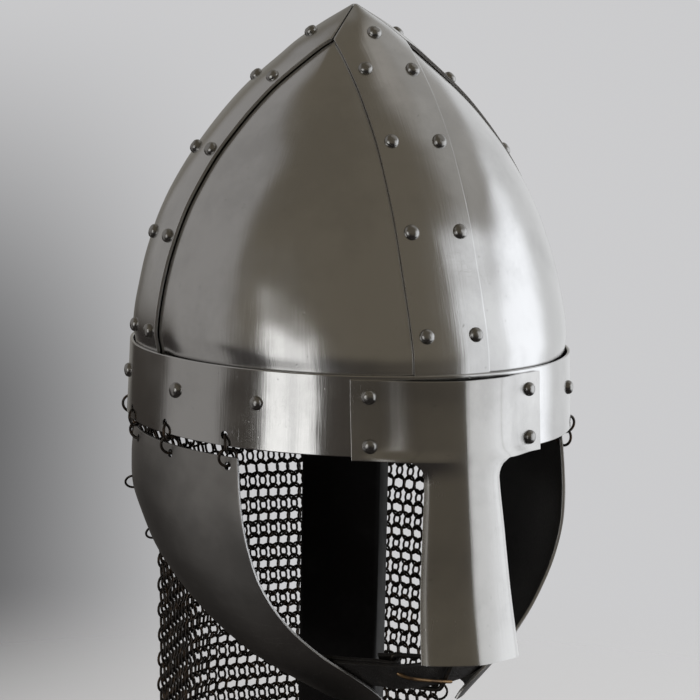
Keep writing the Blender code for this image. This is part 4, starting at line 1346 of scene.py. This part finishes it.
def build_surroundings():
    """A pale ground for the eye with a painted shadow in one patch, and soft windows, walls and a dim room
    for the metal to mirror.
    """
    world = bpy.data.worlds.new("studio")
    bpy.context.scene.world = world
    world.use_nodes = True
    tree = Tree(world.node_tree)
    x, y, z = tree.split(tree.place("Generated"))
    to_left = x.math("ARCTAN2", x, y * -1.0) * (180 / math.pi)
    height = z.math("ARCSINE", z) * (180 / math.pi)

    def patch(low_turn, high_turn, low, high, soft_turn, soft):
        """1 inside a range of turns and heights, in degrees, with soft edges."""
        return (to_left.step(low_turn - soft_turn, low_turn + soft_turn)
                * (1 - to_left.step(high_turn - soft_turn, high_turn + soft_turn))
                * height.step(low - soft, low + soft) * (1 - height.step(high - soft, high + soft)))

    light = height.step(-ROOM_BLEND, ROOM_BLEND).mix(ROOM_BELOW, ROOM_ABOVE)
    for low_turn, high_turn, low, high, soft_turn, soft, glow in STUDIO_LIGHTS:
        light = patch(low_turn, high_turn, low, high, soft_turn, soft).mix(light, glow)
    shine = tree.node("ShaderNodeBackground", {}, Color=light, Strength=1.0)
    pale = tuple(bpy.context.scene.helmet_finishes.backdrop)
    # Painted shadow: the backdrop darkens to a share of its pale colour in one patch.
    painted_shadow = patch(*BACKDROP_SHADOW_PATCH).mix(pale, tuple(BACKDROP_SHADE * c for c in pale))
    ground = tree.node("ShaderNodeBackground", {}, Color=painted_shadow, Strength=1.0)
    seen = tree.node("ShaderNodeLightPath", {}, out="Is Camera Ray")
    both = tree.node("ShaderNodeMixShader", {}, seen, shine, ground)
    tree.node("ShaderNodeOutputWorld", {}, Surface=both)


def build_overhead_light():
    """A large soft lamp for the floor, the leather and the wood, which the metal doesn't mirror."""
    data = bpy.data.lights.new("overhead", "AREA")
    data.shape = "DISK"
    data.size = LAMP_SIZE
    data.energy = LAMP_POWER
    lamp = bpy.data.objects.new("overhead", data)
    bpy.context.scene.collection.objects.link(lamp)
    place = Vector(LAMP_PLACE)
    lamp.matrix_world = turned_to(place.normalized(), place)
    lamp.visible_glossy = False


def build_camera():
    """The camera at the photograph's place: its turn round the helmet, height, roll and lens."""
    data = bpy.data.cameras.new("camera")
    data.lens = CAMERA_LENS
    data.sensor_width = 36.0
    camera = bpy.data.objects.new("camera", data)
    bpy.context.scene.collection.objects.link(camera)
    turn = math.radians(CAMERA_TURN)
    rise = math.radians(CAMERA_RISE)
    roll = math.radians(CAMERA_ROLL)
    back = Vector((math.sin(turn) * math.cos(rise), -math.cos(turn) * math.cos(rise), math.sin(rise)))
    right = Vector((math.cos(turn), math.sin(turn), 0))
    up = back.cross(right)
    right_rolled = right * math.cos(roll) + up * math.sin(roll)
    up_rolled = up * math.cos(roll) - right * math.sin(roll)
    place = Matrix((right_rolled, up_rolled, back)).transposed().to_4x4()
    place.translation = CAMERA_PLACE
    camera.matrix_world = place
    bpy.context.scene.camera = camera


# Operators

class HELMET_OT_dome(bpy.types.Operator):
    """Build the four dome plates and the four riveted bands over their joints"""
    bl_idname = "helmet.dome"
    bl_label = "Dome"

    def execute(self, context):
        for name, start in (("plate_front_left", 0), ("plate_rear_left", 90),
                            ("plate_rear_right", 180), ("plate_front_right", 270)):
            build_plate(name, start)
        for name, centre in (("band_front", 0), ("band_left", 90), ("band_rear", 180), ("band_right", 270)):
            build_band(name, centre)
        return {"FINISHED"}


class HELMET_OT_brow(bpy.types.Operator):
    """Build the brow band with its rivets and ring holes"""
    bl_idname = "helmet.brow"
    bl_label = "Brow band"

    def execute(self, context):
        build_brow()
        return {"FINISHED"}


class HELMET_OT_guard(bpy.types.Operator):
    """Build the keeled nasal guard and its rivets"""
    bl_idname = "helmet.guard"
    bl_label = "Nasal guard"

    def execute(self, context):
        build_guard()
        return {"FINISHED"}


class HELMET_OT_cheeks(bpy.types.Operator):
    """Build the two bowled cheek plates"""
    bl_idname = "helmet.cheeks"
    bl_label = "Cheek plates"

    def execute(self, context):
        for word, side in SIDES:
            build_cheek(word, side)
        return {"FINISHED"}


class HELMET_OT_rings(bpy.types.Operator):
    """Build the rings that carry the cheek plates and the mail, and the loose rings"""
    bl_idname = "helmet.rings"
    bl_label = "Rings"

    def execute(self, context):
        build_rings()
        return {"FINISHED"}


class HELMET_OT_mail(bpy.types.Operator):
    """Build the curtain of linked mail rings"""
    bl_idname = "helmet.mail"
    bl_label = "Mail"

    def execute(self, context):
        build_mail()
        return {"FINISHED"}


class HELMET_OT_strap(bpy.types.Operator):
    """Build the buckled chin strap"""
    bl_idname = "helmet.strap"
    bl_label = "Chin strap"

    def execute(self, context):
        build_strap()
        return {"FINISHED"}


class HELMET_OT_stand(bpy.types.Operator):
    """Build the post stand"""
    bl_idname = "helmet.stand"
    bl_label = "Stand"

    def execute(self, context):
        build_stand()
        return {"FINISHED"}


class HELMET_OT_stage(bpy.types.Operator):
    """Set the floor, the surroundings and the camera"""
    bl_idname = "helmet.stage"
    bl_label = "Stage"

    def execute(self, context):
        build_floor()
        build_surroundings()
        build_overhead_light()
        build_camera()
        context.scene.view_settings.view_transform = "Standard"
        return {"FINISHED"}


class HELMET_PT_panel(bpy.types.Panel):
    """The helmet's pieces, sizes and colours"""
    bl_label = "Spangenhelm"
    bl_idname = "HELMET_PT_panel"
    bl_space_type = "VIEW_3D"
    bl_region_type = "UI"
    bl_category = "Spangenhelm"

    def draw(self, context):
        for operator in OPERATORS:
            self.layout.operator(operator.bl_idname)
        for group in GROUPS:
            settings = getattr(context.scene, group)
            for key in settings.__annotations__:
                self.layout.prop(settings, key)


OPERATORS = (HELMET_OT_stage, HELMET_OT_dome, HELMET_OT_brow, HELMET_OT_guard, HELMET_OT_cheeks,
             HELMET_OT_rings, HELMET_OT_mail, HELMET_OT_strap, HELMET_OT_stand)
GROUPS = {
    "helmet_sizes": HelmetSizes,
    "helmet_guard": GuardSizes,
    "helmet_cheek": CheekSizes,
    "helmet_rings": RingSizes,
    "helmet_mail": MailSizes,
    "helmet_strap": StrapSizes,
    "helmet_stand": StandSizes,
    "helmet_finishes": Finishes,
}


def register():
    """Register the sizes and colours, the operators and the panel."""
    for name, group in GROUPS.items():
        bpy.utils.register_class(group)
        setattr(bpy.types.Scene, name, PointerProperty(type=group))
    for operator in OPERATORS:
        bpy.utils.register_class(operator)
    bpy.utils.register_class(HELMET_PT_panel)


def unregister():
    """Take back what register added."""
    bpy.utils.unregister_class(HELMET_PT_panel)
    for operator in reversed(OPERATORS):
        bpy.utils.unregister_class(operator)
    for name, group in GROUPS.items():
        delattr(bpy.types.Scene, name)
        bpy.utils.unregister_class(group)


def main():
    """Build the stage and every piece."""
    register()
    bpy.ops.helmet.stage()
    bpy.ops.helmet.dome()
    bpy.ops.helmet.brow()
    bpy.ops.helmet.guard()
    bpy.ops.helmet.cheeks()
    bpy.ops.helmet.rings()
    bpy.ops.helmet.mail()
    bpy.ops.helmet.strap()
    bpy.ops.helmet.stand()


if __name__ == "__main__":
    main()
